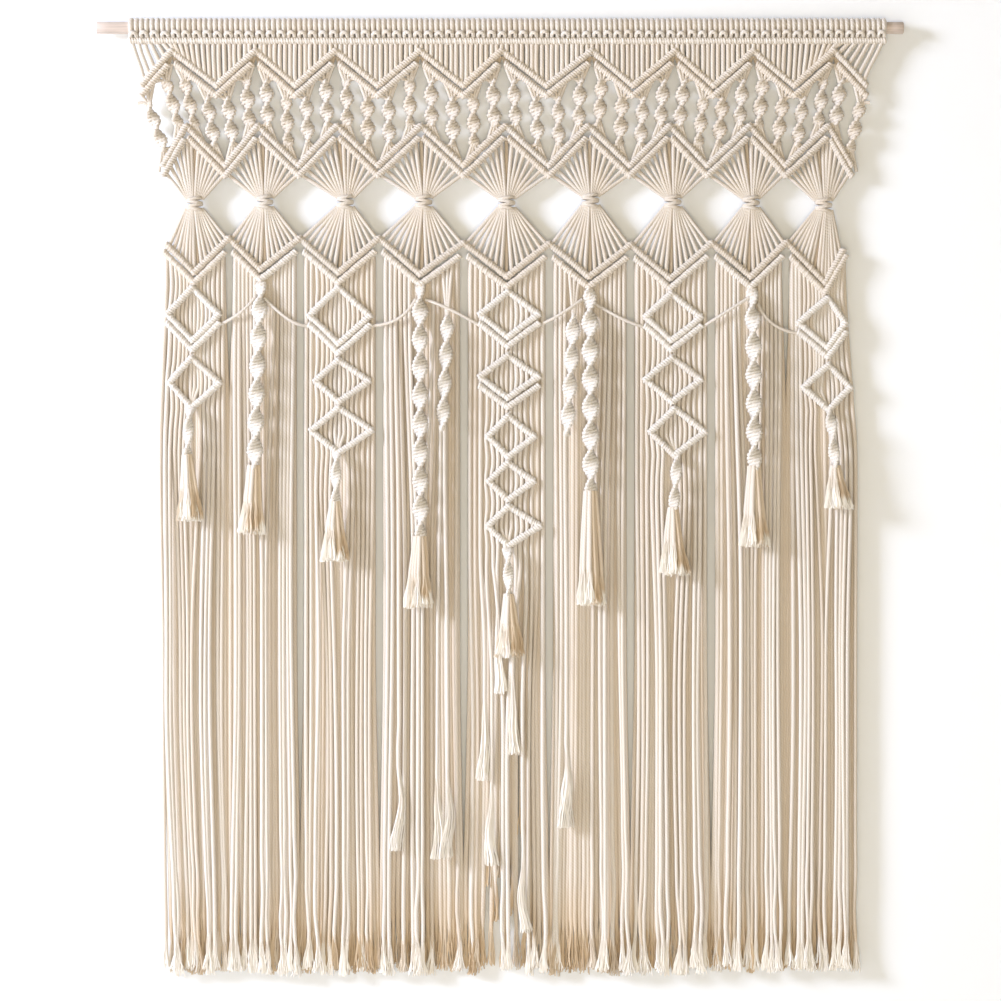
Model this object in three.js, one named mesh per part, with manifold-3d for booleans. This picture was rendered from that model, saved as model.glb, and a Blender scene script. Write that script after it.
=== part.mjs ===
// Macrame door curtain on a wooden rod.
// Millimetres, +Z up. X runs along the rod and -Y faces the viewer.
// The origin is the middle of the rod's axis.

import * as THREE from "three";
import { mergeVertices } from "three/addons/utils/BufferGeometryUtils.js";
import Module from "manifold-3d";

const wasm = await Module();
wasm.setup();

// Rod and heading
const ROD_LENGTH = 1000;
const ROD_RADIUS = 7.5;
const ROD_SIDES = 24;
const HEADING_LEFT = -460;
const HEADING_RIGHT = 487;
const LOOP_COUNT = 72;
const LOOP_CREST = 11.6;
const LOOP_DIP = 10;
const HEADING_BAR_TOP = -10;
const HEADING_BAR_BOTTOM = -21;
const HEADING_LIP = 2;

// Cord, bars and the air between neighbouring pieces
const GAP = 0.4;
const ROW_GAP = 0.6;
const CORD_RADIUS = 2;
const FRAYED_RADIUS = 2.6;
const ROW_HEIGHT = 12.4;
const BAR_BACK = 4.5;
const BAR_WALL = -3;
const BAR_DIP = -4.5;
const BAR_CREST = -7;
const RIDGES_PER_LEG = 3;
const BURIED = 4;

// Net: two double zigzags, the short spirals between them and the fans below
const CROWN_1_Z = -34.7;
const FOOT_1_Z = -78.1;
const CROWN_2_Z = -127.7;
const FOOT_2_Z = -177.3;
const SLIT_HALF = 5;
const SLIT_ROOF = 2;
const HEAD_CORDS = 8;
const FAN_CORDS = 7;
const FAN_NECK = 14;
const FAN_INSET = 3;
const FAN_BITE = 1.5;
const PLEAT_CREST = -2.4;
const PLEAT_DIP = 0;
const PLEAT_BACK = 2.6;
const SPIRAL_RADIUS = 7;
const SPIRAL_STEPS = 4;
const SPIRAL_END = 0.45;
const SPIRAL_Y = 0.75;
const SPIRAL_BURIED = 6;
const KNOT_HEIGHT = 17;
const KNOT_RADIUS = 9;
const KNOT_FLATNESS = 0.75;
const KNOT_SIDES = 6;

// Drops: hanging cords, diamonds, twists, tassels and swags
const HEM_Z = -1168;
const HEM_WAVE = 4;
const HEM_WAVE_STEP = 2.4;
const SEAM_HALF = 5.5;
const ODD_CORDS = 12;
const EVEN_CORDS = 16;
const EVEN_SKIPPED = [6, 7, 8, 9];
const DIAMOND_BAR = 9;
const DIAMOND_BACK = -0.7;
const DIAMOND_LAP = 1;
const DIAMOND_OVERHANG = 2;
const HANG_Y = 1.7;
const HANG_STAGGER = 0.7;
const HALF_TURN = 31;
const TWIST_TOP_Y = -3;
const TWIST_FRONT = -14;
const SIDE_FRONT = -11;
const TWIST_END = 0.6;
const TWIST_LEAN = 0.25;
const TWIST_FLATNESS = 0.55;
const TASSEL_LOCKS = 4;
const LOCK_ROOT = 1.8;
const LOCK_TIP = 3.2;
const LOCK_STAGGER = 4;
const LOCKS_ACROSS = 0.72;
const TAIL_OFFSET = 2.5;
const SWAG_Y = -2.8;
const SWAG_BOW = 6;
const SWAG_STEPS = 5;

// Each repeat: both zigzag crowns, the gathering knot and the tip of the V under it
const REPEATS = [
  { crown1: -407, crown2: -389, knotX: -379, knotZ: -218, tipX: -379, tipZ: -310 },
  { crown1: -303, crown2: -300, knotX: -292, knotZ: -216, tipX: -297, tipZ: -306 },
  { crown1: -204, crown2: -202, knotX: -192, knotZ: -216, tipX: -200, tipZ: -310 },
  { crown1: -99, crown2: -98, knotX: -95, knotZ: -216, tipX: -99, tipZ: -312 },
  { crown1: 2, crown2: 7, knotX: 8, knotZ: -217, tipX: 9, tipZ: -315 },
  { crown1: 114, crown2: 109, knotX: 112, knotZ: -214, tipX: 110, tipZ: -315 },
  { crown1: 217, crown2: 210, knotX: 214, knotZ: -216, tipX: 211, tipZ: -317 },
  { crown1: 314, crown2: 309, knotX: 311, knotZ: -217, tipX: 311, tipZ: -315 },
  { crown1: 414, crown2: 407, knotX: 401, knotZ: -220, tipX: 403, tipZ: -322 },
];

// Each seam between repeats, outer edges included: both zigzag feet and the crossing of two Vs
const SEAMS = [
  { foot1: -444, foot2: -417, crossX: -413, crossZ: -275 },
  { foot1: -351, foot2: -340, crossX: -336, crossZ: -267 },
  { foot1: -253, foot2: -249, crossX: -248, crossZ: -267 },
  { foot1: -151, foot2: -151, crossX: -150, crossZ: -267 },
  { foot1: -45, foot2: -45, crossX: -45, crossZ: -273 },
  { foot1: 58, foot2: 61, crossX: 61, crossZ: -274 },
  { foot1: 165, foot2: 161, crossX: 162, crossZ: -275 },
  { foot1: 265, foot2: 257, crossX: 262, crossZ: -273 },
  { foot1: 365, foot2: 354, crossX: 355, crossZ: -272 },
  { foot1: 454, foot2: 436, crossX: 425, crossZ: -282 },
];

// Diamonds down the odd drops, to the middle of their bars, with one or two rows along the lower sides
const DIAMONDS = [
  { drop: 1, x: -381, left: -412, right: -348, top: -322, bottom: -388, rows: 2 },
  { drop: 1, x: -382, left: -409, right: -347, top: -409, bottom: -471, rows: 1 },
  { drop: 3, x: -200, left: -236, right: -161, top: -322, bottom: -392, rows: 2 },
  { drop: 3, x: -200, left: -229, right: -162, top: -412, bottom: -464, rows: 1 },
  { drop: 3, x: -200, left: -234, right: -159, top: -471, bottom: -527, rows: 1 },
  { drop: 5, x: 10, left: -25, right: 48, top: -327, bottom: -384, rows: 2 },
  { drop: 5, x: 10, left: -25, right: 48, top: -406, bottom: -459, rows: 2 },
  { drop: 5, x: 10, left: -15, right: 43, top: -481, bottom: -532, rows: 1 },
  { drop: 5, x: 10, left: -14, right: 42, top: -539, bottom: -585, rows: 1 },
  { drop: 5, x: 11, left: -15, right: 50, top: -593, bottom: -642, rows: 1 },
  { drop: 7, x: 212, left: 180, right: 249, top: -329, bottom: -388, rows: 2 },
  { drop: 7, x: 213, left: 180, right: 249, top: -409, bottom: -464, rows: 1 },
  { drop: 7, x: 216, left: 186, right: 254, top: -472, bottom: -530, rows: 1 },
  { drop: 9, x: 406, left: 370, right: 433, top: -335, bottom: -397, rows: 2 },
  { drop: 9, x: 407, left: 376, right: 440, top: -418, bottom: -474, rows: 1 },
];

// Twisted stems and long spirals, each with the foot and flare of the tassel below it
const TWISTS = [
  { drop: 1, topX: -383, topZ: -466, footX: -386, footZ: -565, hemX: -382, hemZ: -610, width: 14, flare: 27 },
  { drop: 2, topX: -296, topZ: -316, footX: -303, footZ: -547, hemX: -306, hemZ: -626, width: 20, flare: 27 },
  { drop: 3, topX: -202, topZ: -523, footX: -203, footZ: -592, hemX: -203, hemZ: -660, width: 14, flare: 30 },
  { drop: 4, topX: -99, topZ: -321, footX: -98, footZ: -635, hemX: -100, hemZ: -717, width: 20, flare: 28 },
  { drop: 5, topX: 9, topZ: -640, footX: 11, footZ: -706, hemX: 12, hemZ: -778, width: 14, flare: 31 },
  { drop: 6, topX: 111, topZ: -325, footX: 112, footZ: -579, hemX: 114, hemZ: -714, width: 21, flare: 30 },
  { drop: 7, topX: 219, topZ: -527, footX: 214, footZ: -599, hemX: 217, hemZ: -677, width: 15, flare: 32 },
  { drop: 8, topX: 312, topZ: -324, footX: 314, footZ: -560, hemX: 315, hemZ: -642, width: 20, flare: 33 },
  { drop: 9, topX: 407, topZ: -471, footX: 414, footZ: -552, hemX: 419, hemZ: -593, width: 15, flare: 33 },
];

// Second, shorter spirals tied in hanging cords, which run on below them
const SIDE_SPIRALS = [
  { drop: 4, topX: -65, topZ: -358, footX: -71, footZ: -498, width: 15 },
  { drop: 6, topX: 91, topZ: -357, footX: 83, footZ: -505, width: 16 },
];

// Hanging cords that end above the hem
const SHORT_CORDS = [
  { drop: 4, x: -125, foot: -1017 },
  { drop: 4, x: -77, foot: -1027 },
  { drop: 4, x: -66, foot: -1027 },
  { drop: 5, x: -2, foot: -823 },
  { drop: 5, x: 17, foot: -898 },
  { drop: 5, x: -19, foot: -930 },
  { drop: 5, x: -10, foot: -1035 },
  { drop: 5, x: 28, foot: -1118 },
  { drop: 6, x: 96, foot: -853 },
  { drop: 6, x: 82, foot: -988 },
];

// Swags: the diamond's side, the sagging middle and the spiral's side
const SWAGS = [
  { fromX: -340.9, fromZ: -356, midX: -322, midZ: -354, toX: -307, toZ: -338 },
  { fromX: -242.9, fromZ: -357.5, midX: -261, midZ: -362, toX: -288.5, toZ: -338 },
  { fromX: -153.4, fromZ: -357.5, midX: -126, midZ: -361, toX: -107.8, toZ: -340 },
  { fromX: -32.6, fromZ: -356, midX: -61, midZ: -350, toX: -89, toZ: -340 },
  { fromX: 56.2, fromZ: -356, midX: 74, midZ: -356, toX: 98.6, toZ: -340 },
  { fromX: 173, fromZ: -359, midX: 151, midZ: -361, toX: 120.3, toZ: -345 },
  { fromX: 257, fromZ: -359, midX: 273, midZ: -357, toX: 304.8, toZ: -338 },
  { fromX: 362.2, fromZ: -366.5, midX: 337, midZ: -367, toX: 322.4, toZ: -345 },
];

const COTTON = { color: 0xf0e6d4, roughness: 0.95, metalness: 0 };
const WOOD = { color: 0xdcc6ac, roughness: 0.7, metalness: 0 };

const { lerp } = THREE.MathUtils;

// A closed geometry as a solid that can be joined and cut.
function solidOf(geometry) {
  const bare = geometry.clone();
  bare.deleteAttribute("normal");
  bare.deleteAttribute("uv");
  const merged = mergeVertices(bare, 1e-4);
  return new wasm.Manifold(
    new wasm.Mesh({
      numProp: 3,
      vertProperties: merged.attributes.position.array,
      triVerts: new Uint32Array(merged.index.array),
    }),
  );
}

function joined(geometries) {
  return wasm.Manifold.union(geometries.map(solidOf));
}

// A solid as a named mesh placed at its own anchor.
function meshOf(name, solid, look, anchor = new THREE.Vector3()) {
  const { vertProperties, triVerts } = solid.getMesh();
  const geometry = new THREE.BufferGeometry();
  geometry.setAttribute("position", new THREE.BufferAttribute(vertProperties, 3));
  geometry.setIndex(new THREE.BufferAttribute(triVerts, 1));
  geometry.translate(-anchor.x, -anchor.y, -anchor.z);
  const mesh = new THREE.Mesh(geometry, new THREE.MeshStandardMaterial(look));
  mesh.name = name;
  mesh.position.copy(anchor);
  return mesh;
}

// Signed volume of an indexed skin, to tell whether its faces point out.
function signedVolume(points, index) {
  let sum = 0;
  for (let i = 0; i < index.length; i += 3) {
    const [a, b, c] = [points[index[i]], points[index[i + 1]], points[index[i + 2]]];
    sum += a.dot(new THREE.Vector3().crossVectors(b, c));
  }
  return sum / 6;
}

// Triangles across the open end of a ring of lines, facing the way the ring runs.
function endCap(ring) {
  const flat = ring.map((point) => new THREE.Vector2(point.y, point.z));
  const turn = Math.sign(THREE.ShapeUtils.area(flat));
  return THREE.ShapeUtils.triangulateShape(flat, []).map(([a, b, c]) => {
    const same = Math.sign(THREE.ShapeUtils.area([flat[a], flat[b], flat[c]])) === turn;
    return same ? [a, b, c] : [a, c, b];
  });
}

// One closed skin over a ring of lines that run side by side, each with its own number of points.
// A point has its place along the run in `at`. Loops close on themselves after `period`.
function skin(lines, period = 0) {
  const points = lines.flat().map((p) => new THREE.Vector3(p.x, p.y, p.z));
  const starts = lines.map((_, i) => lines.slice(0, i).reduce((sum, line) => sum + line.length, 0));
  const at = (i, k) => (k < lines[i].length ? lines[i][k].at : period + lines[i][0].at);
  const id = (i, k) => starts[i] + (k % lines[i].length);
  const last = (i) => (period ? lines[i].length : lines[i].length - 1);
  const index = [];
  lines.forEach((_, i) => {
    const j = (i + 1) % lines.length;
    let a = 0;
    let b = 0;
    while (a < last(i) || b < last(j)) {
      const stepA = a < last(i) && (b >= last(j) || at(i, a + 1) <= at(j, b + 1));
      if (stepA) {
        index.push(id(i, a), id(i, a + 1), id(j, b));
        a += 1;
      } else {
        index.push(id(i, a), id(j, b + 1), id(j, b));
        b += 1;
      }
    }
  });
  if (!period) {
    for (const [a, b, c] of endCap(lines.map((line) => line[0]))) {
      index.push(id(a, 0), id(b, 0), id(c, 0));
    }
    for (const [a, b, c] of endCap(lines.map((line) => line.at(-1)))) {
      index.push(id(a, last(a)), id(c, last(c)), id(b, last(b)));
    }
  }
  if (signedVolume(points, index) < 0) {
    index.reverse();
  }
  const geometry = new THREE.BufferGeometry().setFromPoints(points);
  geometry.setIndex(index);
  return geometry;
}

// A line along a path at one rise and depth. With ridges, every second point stands out to the crest.
function trace(path, { rise, y, ridges = 0, crest = 0 }) {
  const line = [];
  const steps = Math.max(1, 2 * ridges);
  for (let leg = 0; leg < path.length - 1; leg += 1) {
    const [from, to] = [path[leg], path[leg + 1]];
    for (let step = 0; step < steps; step += 1) {
      const part = step / steps;
      line.push({
        at: lerp(from.at, to.at, part),
        x: lerp(from.x, to.x, part),
        y: step % 2 ? crest : y,
        z: lerp(from.z, to.z, part) + rise,
      });
    }
  }
  const end = path.at(-1);
  line.push({ at: end.at, x: end.x, y, z: end.z + rise });
  return line;
}

// A ridged row of hitches between two rises along a path.
function rowLines(path, top, bottom, lowerPath = path) {
  const middle = { rise: (top + bottom) / 2, y: BAR_DIP, ridges: RIDGES_PER_LEG, crest: BAR_CREST };
  return [
    trace(path, { rise: top, y: BAR_WALL }),
    trace(path, middle),
    trace(lowerPath, { rise: bottom, y: BAR_WALL }),
  ];
}

function row(path, top, bottom, backY = BAR_BACK) {
  const back = [
    trace(path, { rise: bottom, y: backY }),
    trace(path, { rise: top, y: backY }),
  ];
  return skin([...rowLines(path, top, bottom), ...back]);
}

// Two rows with a groove between them. The foot of the lower one can follow a path of its own.
function doubleRow(path, lowerPath = path) {
  const upper = rowLines(path, ROW_HEIGHT, 0);
  const lower = rowLines(path, 0, -ROW_HEIGHT, lowerPath);
  const back = [
    trace(lowerPath, { rise: -ROW_HEIGHT, y: BAR_BACK }),
    trace(path, { rise: ROW_HEIGHT, y: BAR_BACK }),
  ];
  return skin([...upper, ...lower.slice(1), ...back]);
}

// The path with three nodes at each crown, the middle one raised almost to the groove.
function withSlits(path) {
  return path.flatMap((node, i) => {
    if (!node.crown) {
      return [node];
    }
    const [before, after] = [path[i - 1], path[i + 1]];
    const left = SLIT_HALF / (node.x - before.x);
    const right = SLIT_HALF / (after.x - node.x);
    const slope = (other, part) => ({
      at: lerp(node.at, other.at, part),
      x: lerp(node.x, other.x, part),
      z: lerp(node.z, other.z, part),
    });
    return [slope(before, left), { ...node, z: node.z + ROW_HEIGHT - SLIT_ROOF }, slope(after, right)];
  });
}

// A zigzag that starts and ends on a seam and has one turn in each repeat.
function zigzag(seamPoint, turnPoint, crown) {
  const path = [];
  SEAMS.forEach((seam, i) => {
    path.push({ at: 2 * i, ...seamPoint(seam) });
    if (i < REPEATS.length) {
      path.push({ at: 2 * i + 1, ...turnPoint(REPEATS[i]), crown });
    }
  });
  return path;
}

// Height of a path at one x.
function heightAt(path, x) {
  const leg = Math.max(0, path.findLastIndex((node, i) => node.x <= x && i < path.length - 1));
  const [from, to] = [path[leg], path[leg + 1]];
  return lerp(from.z, to.z, (x - from.x) / (to.x - from.x));
}

// A straight three-sided cord with one edge to the front, from its root to its tip.
function cord(from, to, rootRadius, tipRadius = rootRadius) {
  const along = new THREE.Vector3().subVectors(to, from);
  const depth = along.length();
  const geometry = new THREE.ExtrudeGeometry(triangle(rootRadius), { depth, bevelEnabled: false });
  const position = geometry.getAttribute("position");
  for (let i = 0; i < position.count; i += 1) {
    const scale = position.getZ(i) > 0 ? tipRadius / rootRadius : 1;
    position.setXY(i, scale * position.getX(i), scale * position.getY(i));
  }
  along.normalize();
  const front = new THREE.Vector3(0, -1, 0).addScaledVector(along, along.y).normalize();
  const side = new THREE.Vector3().crossVectors(front, along);
  geometry.applyMatrix4(new THREE.Matrix4().makeBasis(side, front, along));
  return geometry.translate(from.x, from.y, from.z);
}

// A cord's three-sided section with one corner up.
function triangle(radius) {
  const corners = [90, 210, 330].map((degrees) => THREE.MathUtils.degToRad(degrees));
  const points = corners.map((angle) => new THREE.Vector2(Math.cos(angle), Math.sin(angle)));
  return new THREE.Shape(points.map((point) => point.multiplyScalar(radius)));
}

// A bar of one section twisted about its length, from a top to a foot and out to a depth.
function twist(section, { topX, topZ, footX, footZ, topY, footY, steps, angle, topScale, footScale }) {
  const geometry = new THREE.ExtrudeGeometry(section, { depth: 1, steps, bevelEnabled: false });
  const position = geometry.getAttribute("position");
  const point = new THREE.Vector3();
  const axis = new THREE.Vector3(0, 0, 1);
  for (let i = 0; i < position.count; i += 1) {
    point.fromBufferAttribute(position, i);
    const part = 1 - point.z;
    const y = lerp(topY, footY, Math.min(1, part / TWIST_LEAN));
    const scale = part < 0.01 ? topScale : part > 0.99 ? footScale : 1;
    point.z = 0;
    point.multiplyScalar(scale);
    point.applyAxisAngle(axis, part * steps * angle);
    position.setXYZ(i, point.x + lerp(topX, footX, part), point.y + y, lerp(topZ, footZ, part));
  }
  return geometry;
}

// A flat four-sided section.
function oblong(width, depth) {
  const [x, y] = [width / 2, depth / 2];
  const corners = [[-x, -y], [x, -y], [x, y], [-x, y]];
  return new THREE.Shape(corners.map((corner) => new THREE.Vector2(...corner)));
}

// A ridged knot that gathers a fan.
function gatheringKnot({ knotX, knotZ }) {
  const half = KNOT_HEIGHT / 2;
  const profile = [
    [0, -half],
    [0.75 * KNOT_RADIUS, -half],
    [KNOT_RADIUS, -0.5 * half],
    [0.85 * KNOT_RADIUS, 0],
    [KNOT_RADIUS, 0.5 * half],
    [0.75 * KNOT_RADIUS, half],
    [0, half],
  ].map(([radius, height]) => new THREE.Vector2(radius, height));
  const geometry = new THREE.LatheGeometry(profile, KNOT_SIDES, Math.PI / KNOT_SIDES);
  geometry.rotateX(Math.PI / 2);
  return geometry.scale(1, KNOT_FLATNESS, 1).translate(knotX, 0, knotZ);
}

function rodMesh() {
  const geometry = new THREE.CylinderGeometry(ROD_RADIUS, ROD_RADIUS, ROD_LENGTH, ROD_SIDES);
  const mesh = new THREE.Mesh(geometry, new THREE.MeshStandardMaterial(WOOD));
  mesh.name = "rod";
  mesh.rotation.z = Math.PI / 2;
  return mesh;
}

// The knotted loops round the rod and the level bar of hitches under them.
function headingMesh() {
  const path = [
    { at: 0, x: HEADING_LEFT, z: 0 },
    { at: 1, x: HEADING_RIGHT, z: 0 },
  ];
  const around = (degrees, radius) => ({
    y: -radius * Math.cos(THREE.MathUtils.degToRad(degrees)),
    rise: radius * Math.sin(THREE.MathUtils.degToRad(degrees)),
  });
  const smooth = (degrees) => trace(path, around(degrees, LOOP_CREST));
  const ridged = (degrees) => {
    const dip = trace(path, { ...around(degrees, LOOP_DIP), ridges: LOOP_COUNT });
    const crest = trace(path, { ...around(degrees, LOOP_CREST), ridges: LOOP_COUNT });
    return dip.map((point, i) => (i % 2 ? { ...crest[i], y: around(degrees, LOOP_CREST).y } : point));
  };
  const back = [105, 155, 205, 250].map(smooth);
  const sleeve = skin([smooth(-70), ridged(-15), ridged(50), ...back]);
  const middle = (HEADING_BAR_TOP + HEADING_BAR_BOTTOM) / 2;
  const bar = skin([
    trace(path, { rise: HEADING_BAR_TOP, y: BAR_WALL }),
    trace(path, { rise: HEADING_BAR_TOP - HEADING_LIP, y: BAR_WALL }),
    trace(path, { rise: middle, y: BAR_DIP, ridges: LOOP_COUNT, crest: BAR_CREST }),
    trace(path, { rise: HEADING_BAR_BOTTOM, y: BAR_WALL }),
    trace(path, { rise: HEADING_BAR_BOTTOM, y: BAR_BACK }),
    trace(path, { rise: HEADING_BAR_TOP, y: BAR_BACK }),
  ]);
  const bore = new THREE.CylinderGeometry(ROD_RADIUS + GAP, ROD_RADIUS + GAP, ROD_LENGTH, ROD_SIDES);
  bore.rotateZ(Math.PI / 2);
  return meshOf("heading", joined([sleeve, bar]).subtract(solidOf(bore)), COTTON);
}

const zigzag1 = zigzag(
  ({ foot1 }) => ({ x: foot1, z: FOOT_1_Z }),
  ({ crown1 }) => ({ x: crown1, z: CROWN_1_Z }),
  true,
);
const zigzag2 = zigzag(
  ({ foot2 }) => ({ x: foot2, z: FOOT_2_Z }),
  ({ crown2 }) => ({ x: crown2, z: CROWN_2_Z }),
  true,
);
const zigzag3 = zigzag(
  ({ crossX, crossZ }) => ({ x: crossX, z: crossZ }),
  ({ tipX, tipZ }) => ({ x: tipX, z: tipZ }),
  false,
);

// A sheet of close cords between two edges, ridged in front. The back turns at the bends.
function pleats(topEdge, footEdge, count, bends) {
  const front = (edge) =>
    Array.from({ length: 2 * count + 1 }, (_, k) => {
      const at = k / (2 * count);
      return { at, ...edge(at), y: k % 2 ? PLEAT_CREST : PLEAT_DIP };
    });
  const back = (edge) => bends.map((at) => ({ at, ...edge(at), y: PLEAT_BACK }));
  return skin([front(topEdge), front(footEdge), back(footEdge), back(topEdge)]);
}

// An edge along part of a zigzag, raised or lowered.
function zigzagEdge(path, fromX, toX, rise) {
  return (at) => {
    const x = lerp(fromX, toX, at);
    return { x, z: heightAt(path, x) + rise };
  };
}

// Cords from the heading to the first zigzag.
function headCords() {
  const [left, right] = [zigzag1[0].x, zigzag1.at(-1).x];
  const top = (at) => ({ x: lerp(HEADING_LEFT, HEADING_RIGHT, at), z: HEADING_BAR_BOTTOM - GAP });
  const foot = zigzagEdge(zigzag1, left, right, ROW_HEIGHT - BURIED);
  const bends = zigzag1.map(({ x }) => (x - left) / (right - left));
  return pleats(top, foot, HEAD_CORDS * REPEATS.length, bends);
}

// Four short half-knot spirals in each repeat, from the first zigzag to the second.
function shortSpirals() {
  return REPEATS.flatMap(({ crown1, crown2 }, i) => {
    const legs = [
      { foot: SEAMS[i], part: 0.25 },
      { foot: SEAMS[i], part: 0.75 },
      { foot: SEAMS[i + 1], part: 0.75 },
      { foot: SEAMS[i + 1], part: 0.25 },
    ];
    return legs.map(({ foot, part }) => {
      const topX = lerp(foot.foot1, crown1, part);
      const footX = lerp(foot.foot2, crown2, part);
      return twist(triangle(SPIRAL_RADIUS), {
        topX,
        topZ: heightAt(zigzag1, topX) - ROW_HEIGHT + SPIRAL_BURIED,
        topY: SPIRAL_Y,
        footX,
        footZ: heightAt(zigzag2, footX) + ROW_HEIGHT - SPIRAL_BURIED,
        footY: SPIRAL_Y,
        steps: SPIRAL_STEPS,
        angle: (2 * Math.PI) / 3 / SPIRAL_STEPS,
        topScale: SPIRAL_END,
        footScale: SPIRAL_END,
      });
    });
  });
}

// Cords drawn in from the second zigzag to a knot, and spread again to the third.
function fans() {
  return REPEATS.flatMap(({ knotX, knotZ, crown2, tipX }, i) => {
    const [left, right] = [SEAMS[i], SEAMS[i + 1]];
    const neck = (side) => (at) => ({
      x: knotX + (at - 0.5) * FAN_NECK,
      z: knotZ + side * (KNOT_HEIGHT / 2 - FAN_BITE),
    });
    const rise = ROW_HEIGHT - BURIED;
    const upper = zigzagEdge(zigzag2, left.foot2 + FAN_INSET, right.foot2 - FAN_INSET, -rise);
    const lower = zigzagEdge(zigzag3, left.crossX + FAN_INSET, right.crossX - FAN_INSET, rise);
    const upperBend = (crown2 - left.foot2) / (right.foot2 - left.foot2);
    const lowerBend = (tipX - left.crossX) / (right.crossX - left.crossX);
    return [
      pleats(upper, neck(1), FAN_CORDS, [0, upperBend, 1]),
      pleats(neck(-1), lower, FAN_CORDS, [0, lowerBend, 1]),
    ];
  });
}

function netMesh() {
  const bars = [
    doubleRow(zigzag1, withSlits(zigzag1)),
    doubleRow(zigzag2),
    row(zigzag3, ROW_HEIGHT, ROW_GAP / 2),
  ];
  const knots = REPEATS.map(gatheringKnot);
  return meshOf("net", joined([...bars, ...knots, headCords(), ...shortSpirals(), ...fans()]), COTTON);
}

// The V that a drop hangs from.
function dropPath(i) {
  const [left, right] = [SEAMS[i].crossX + SEAM_HALF, SEAMS[i + 1].crossX - SEAM_HALF];
  return [
    { at: 0, x: left, z: heightAt(zigzag3, left) },
    { at: 1, x: REPEATS[i].tipX, z: REPEATS[i].tipZ },
    { at: 2, x: right, z: heightAt(zigzag3, right) },
  ];
}

// Hanging cords of a drop, spread evenly at the hem. A cord in a side spiral stops in its head.
function hangingCords(number, path) {
  const slots = Array.from({ length: number % 2 ? ODD_CORDS : EVEN_CORDS }, (_, k) => k);
  const kept = slots.filter((k) => number % 2 || !EVEN_SKIPPED.includes(k));
  const [left, right] = [path[0].x, path.at(-1).x];
  const hemPitch = (right - left) / kept.length;
  const sideSpiral = SIDE_SPIRALS.find(({ drop }) => drop === number);
  return kept.map((k, n) => {
    const rootX = lerp(left, right, (k + 0.5) / slots.length);
    const hemX = left + (n + 0.5) * hemPitch;
    const y = HANG_Y + (n % 2) * HANG_STAGGER;
    const root = new THREE.Vector3(rootX, y, heightAt(path, rootX) - ROW_HEIGHT + BURIED);
    const tip = new THREE.Vector3(hemX, y, HEM_Z + HEM_WAVE * Math.sin(HEM_WAVE_STEP * n + number));
    const short = SHORT_CORDS.find((end) => end.drop === number && Math.abs(end.x - hemX) <= hemPitch / 2);
    if (sideSpiral && Math.abs(sideSpiral.topX - rootX) < sideSpiral.width / 2) {
      tip.set(rootX, TWIST_TOP_Y, sideSpiral.topZ - BURIED);
    } else if (short) {
      tip.set(short.x, y, short.foot);
    }
    return cord(root, tip, CORD_RADIUS, FRAYED_RADIUS);
  });
}

// A diamond's closed bar, with a second row under its lower sides where it has one.
function diamond({ x, left, right, top, bottom, rows }) {
  const middleZ = (top + bottom) / 2;
  const corners = [
    { x, z: top },
    { x: right, z: middleZ },
    { x, z: bottom },
    { x: left, z: middleZ },
  ];
  const [halfWidth, halfHeight] = [(right - left) / 2, (top - bottom) / 2];
  const reach = (halfWidth * halfHeight) / Math.hypot(halfWidth, halfHeight);
  const loop = (offset, y, ridges = 0) => {
    const scale = 1 + offset / reach;
    const path = [...corners, corners[0]].map((corner, at) => ({
      at,
      x: x + scale * (corner.x - x),
      z: middleZ + scale * (corner.z - middleZ),
    }));
    return trace(path, { rise: 0, y, ridges, crest: BAR_CREST }).slice(0, -1);
  };
  const half = DIAMOND_BAR / 2;
  const lines = [
    loop(half, BAR_WALL),
    loop(0, BAR_DIP, RIDGES_PER_LEG),
    loop(-half, BAR_WALL),
    loop(-half, DIAMOND_BACK),
    loop(half, DIAMOND_BACK),
  ];
  const bars = [skin(lines, corners.length)];
  if (rows === 2) {
    const fall = half / Math.cos(Math.atan2(halfHeight, halfWidth)) - DIAMOND_LAP;
    const path = [
      { at: 0, x: left - DIAMOND_OVERHANG, z: middleZ },
      { at: 1, x, z: bottom },
      { at: 2, x: right + DIAMOND_OVERHANG, z: middleZ },
    ];
    bars.push(row(path, -fall, -fall - ROW_HEIGHT, DIAMOND_BACK));
  }
  return bars;
}

// Steps of a twist that ends flat to the front after whole half turns.
function halfTurns(length) {
  const turns = Math.max(1, Math.round(length / HALF_TURN));
  return { steps: 3 * turns, angle: Math.PI / 3, topScale: TWIST_END, footScale: 1 };
}

// A drop's twisted stem or spiral with its tassel of locks.
function twistWithTassel(entry) {
  const { topZ, footX, footZ, hemX, hemZ, width, flare } = entry;
  const shape = { topY: TWIST_TOP_Y, footY: TWIST_FRONT, ...halfTurns(topZ - footZ) };
  const locks = Array.from({ length: TASSEL_LOCKS }, (_, k) => {
    const across = k / (TASSEL_LOCKS - 1) - 0.5;
    const side = k % 2 ? 1 : -1;
    const root = new THREE.Vector3(footX + LOCKS_ACROSS * across * width, TWIST_FRONT, footZ + BURIED);
    const tipX = hemX + across * (flare - 2 * LOCK_TIP);
    const tip = new THREE.Vector3(tipX, TWIST_FRONT + LOCK_STAGGER * side, hemZ);
    return cord(root, tip, LOCK_ROOT, LOCK_TIP);
  });
  return [twist(oblong(width, TWIST_FLATNESS * width), { ...entry, ...shape }), ...locks];
}

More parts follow.
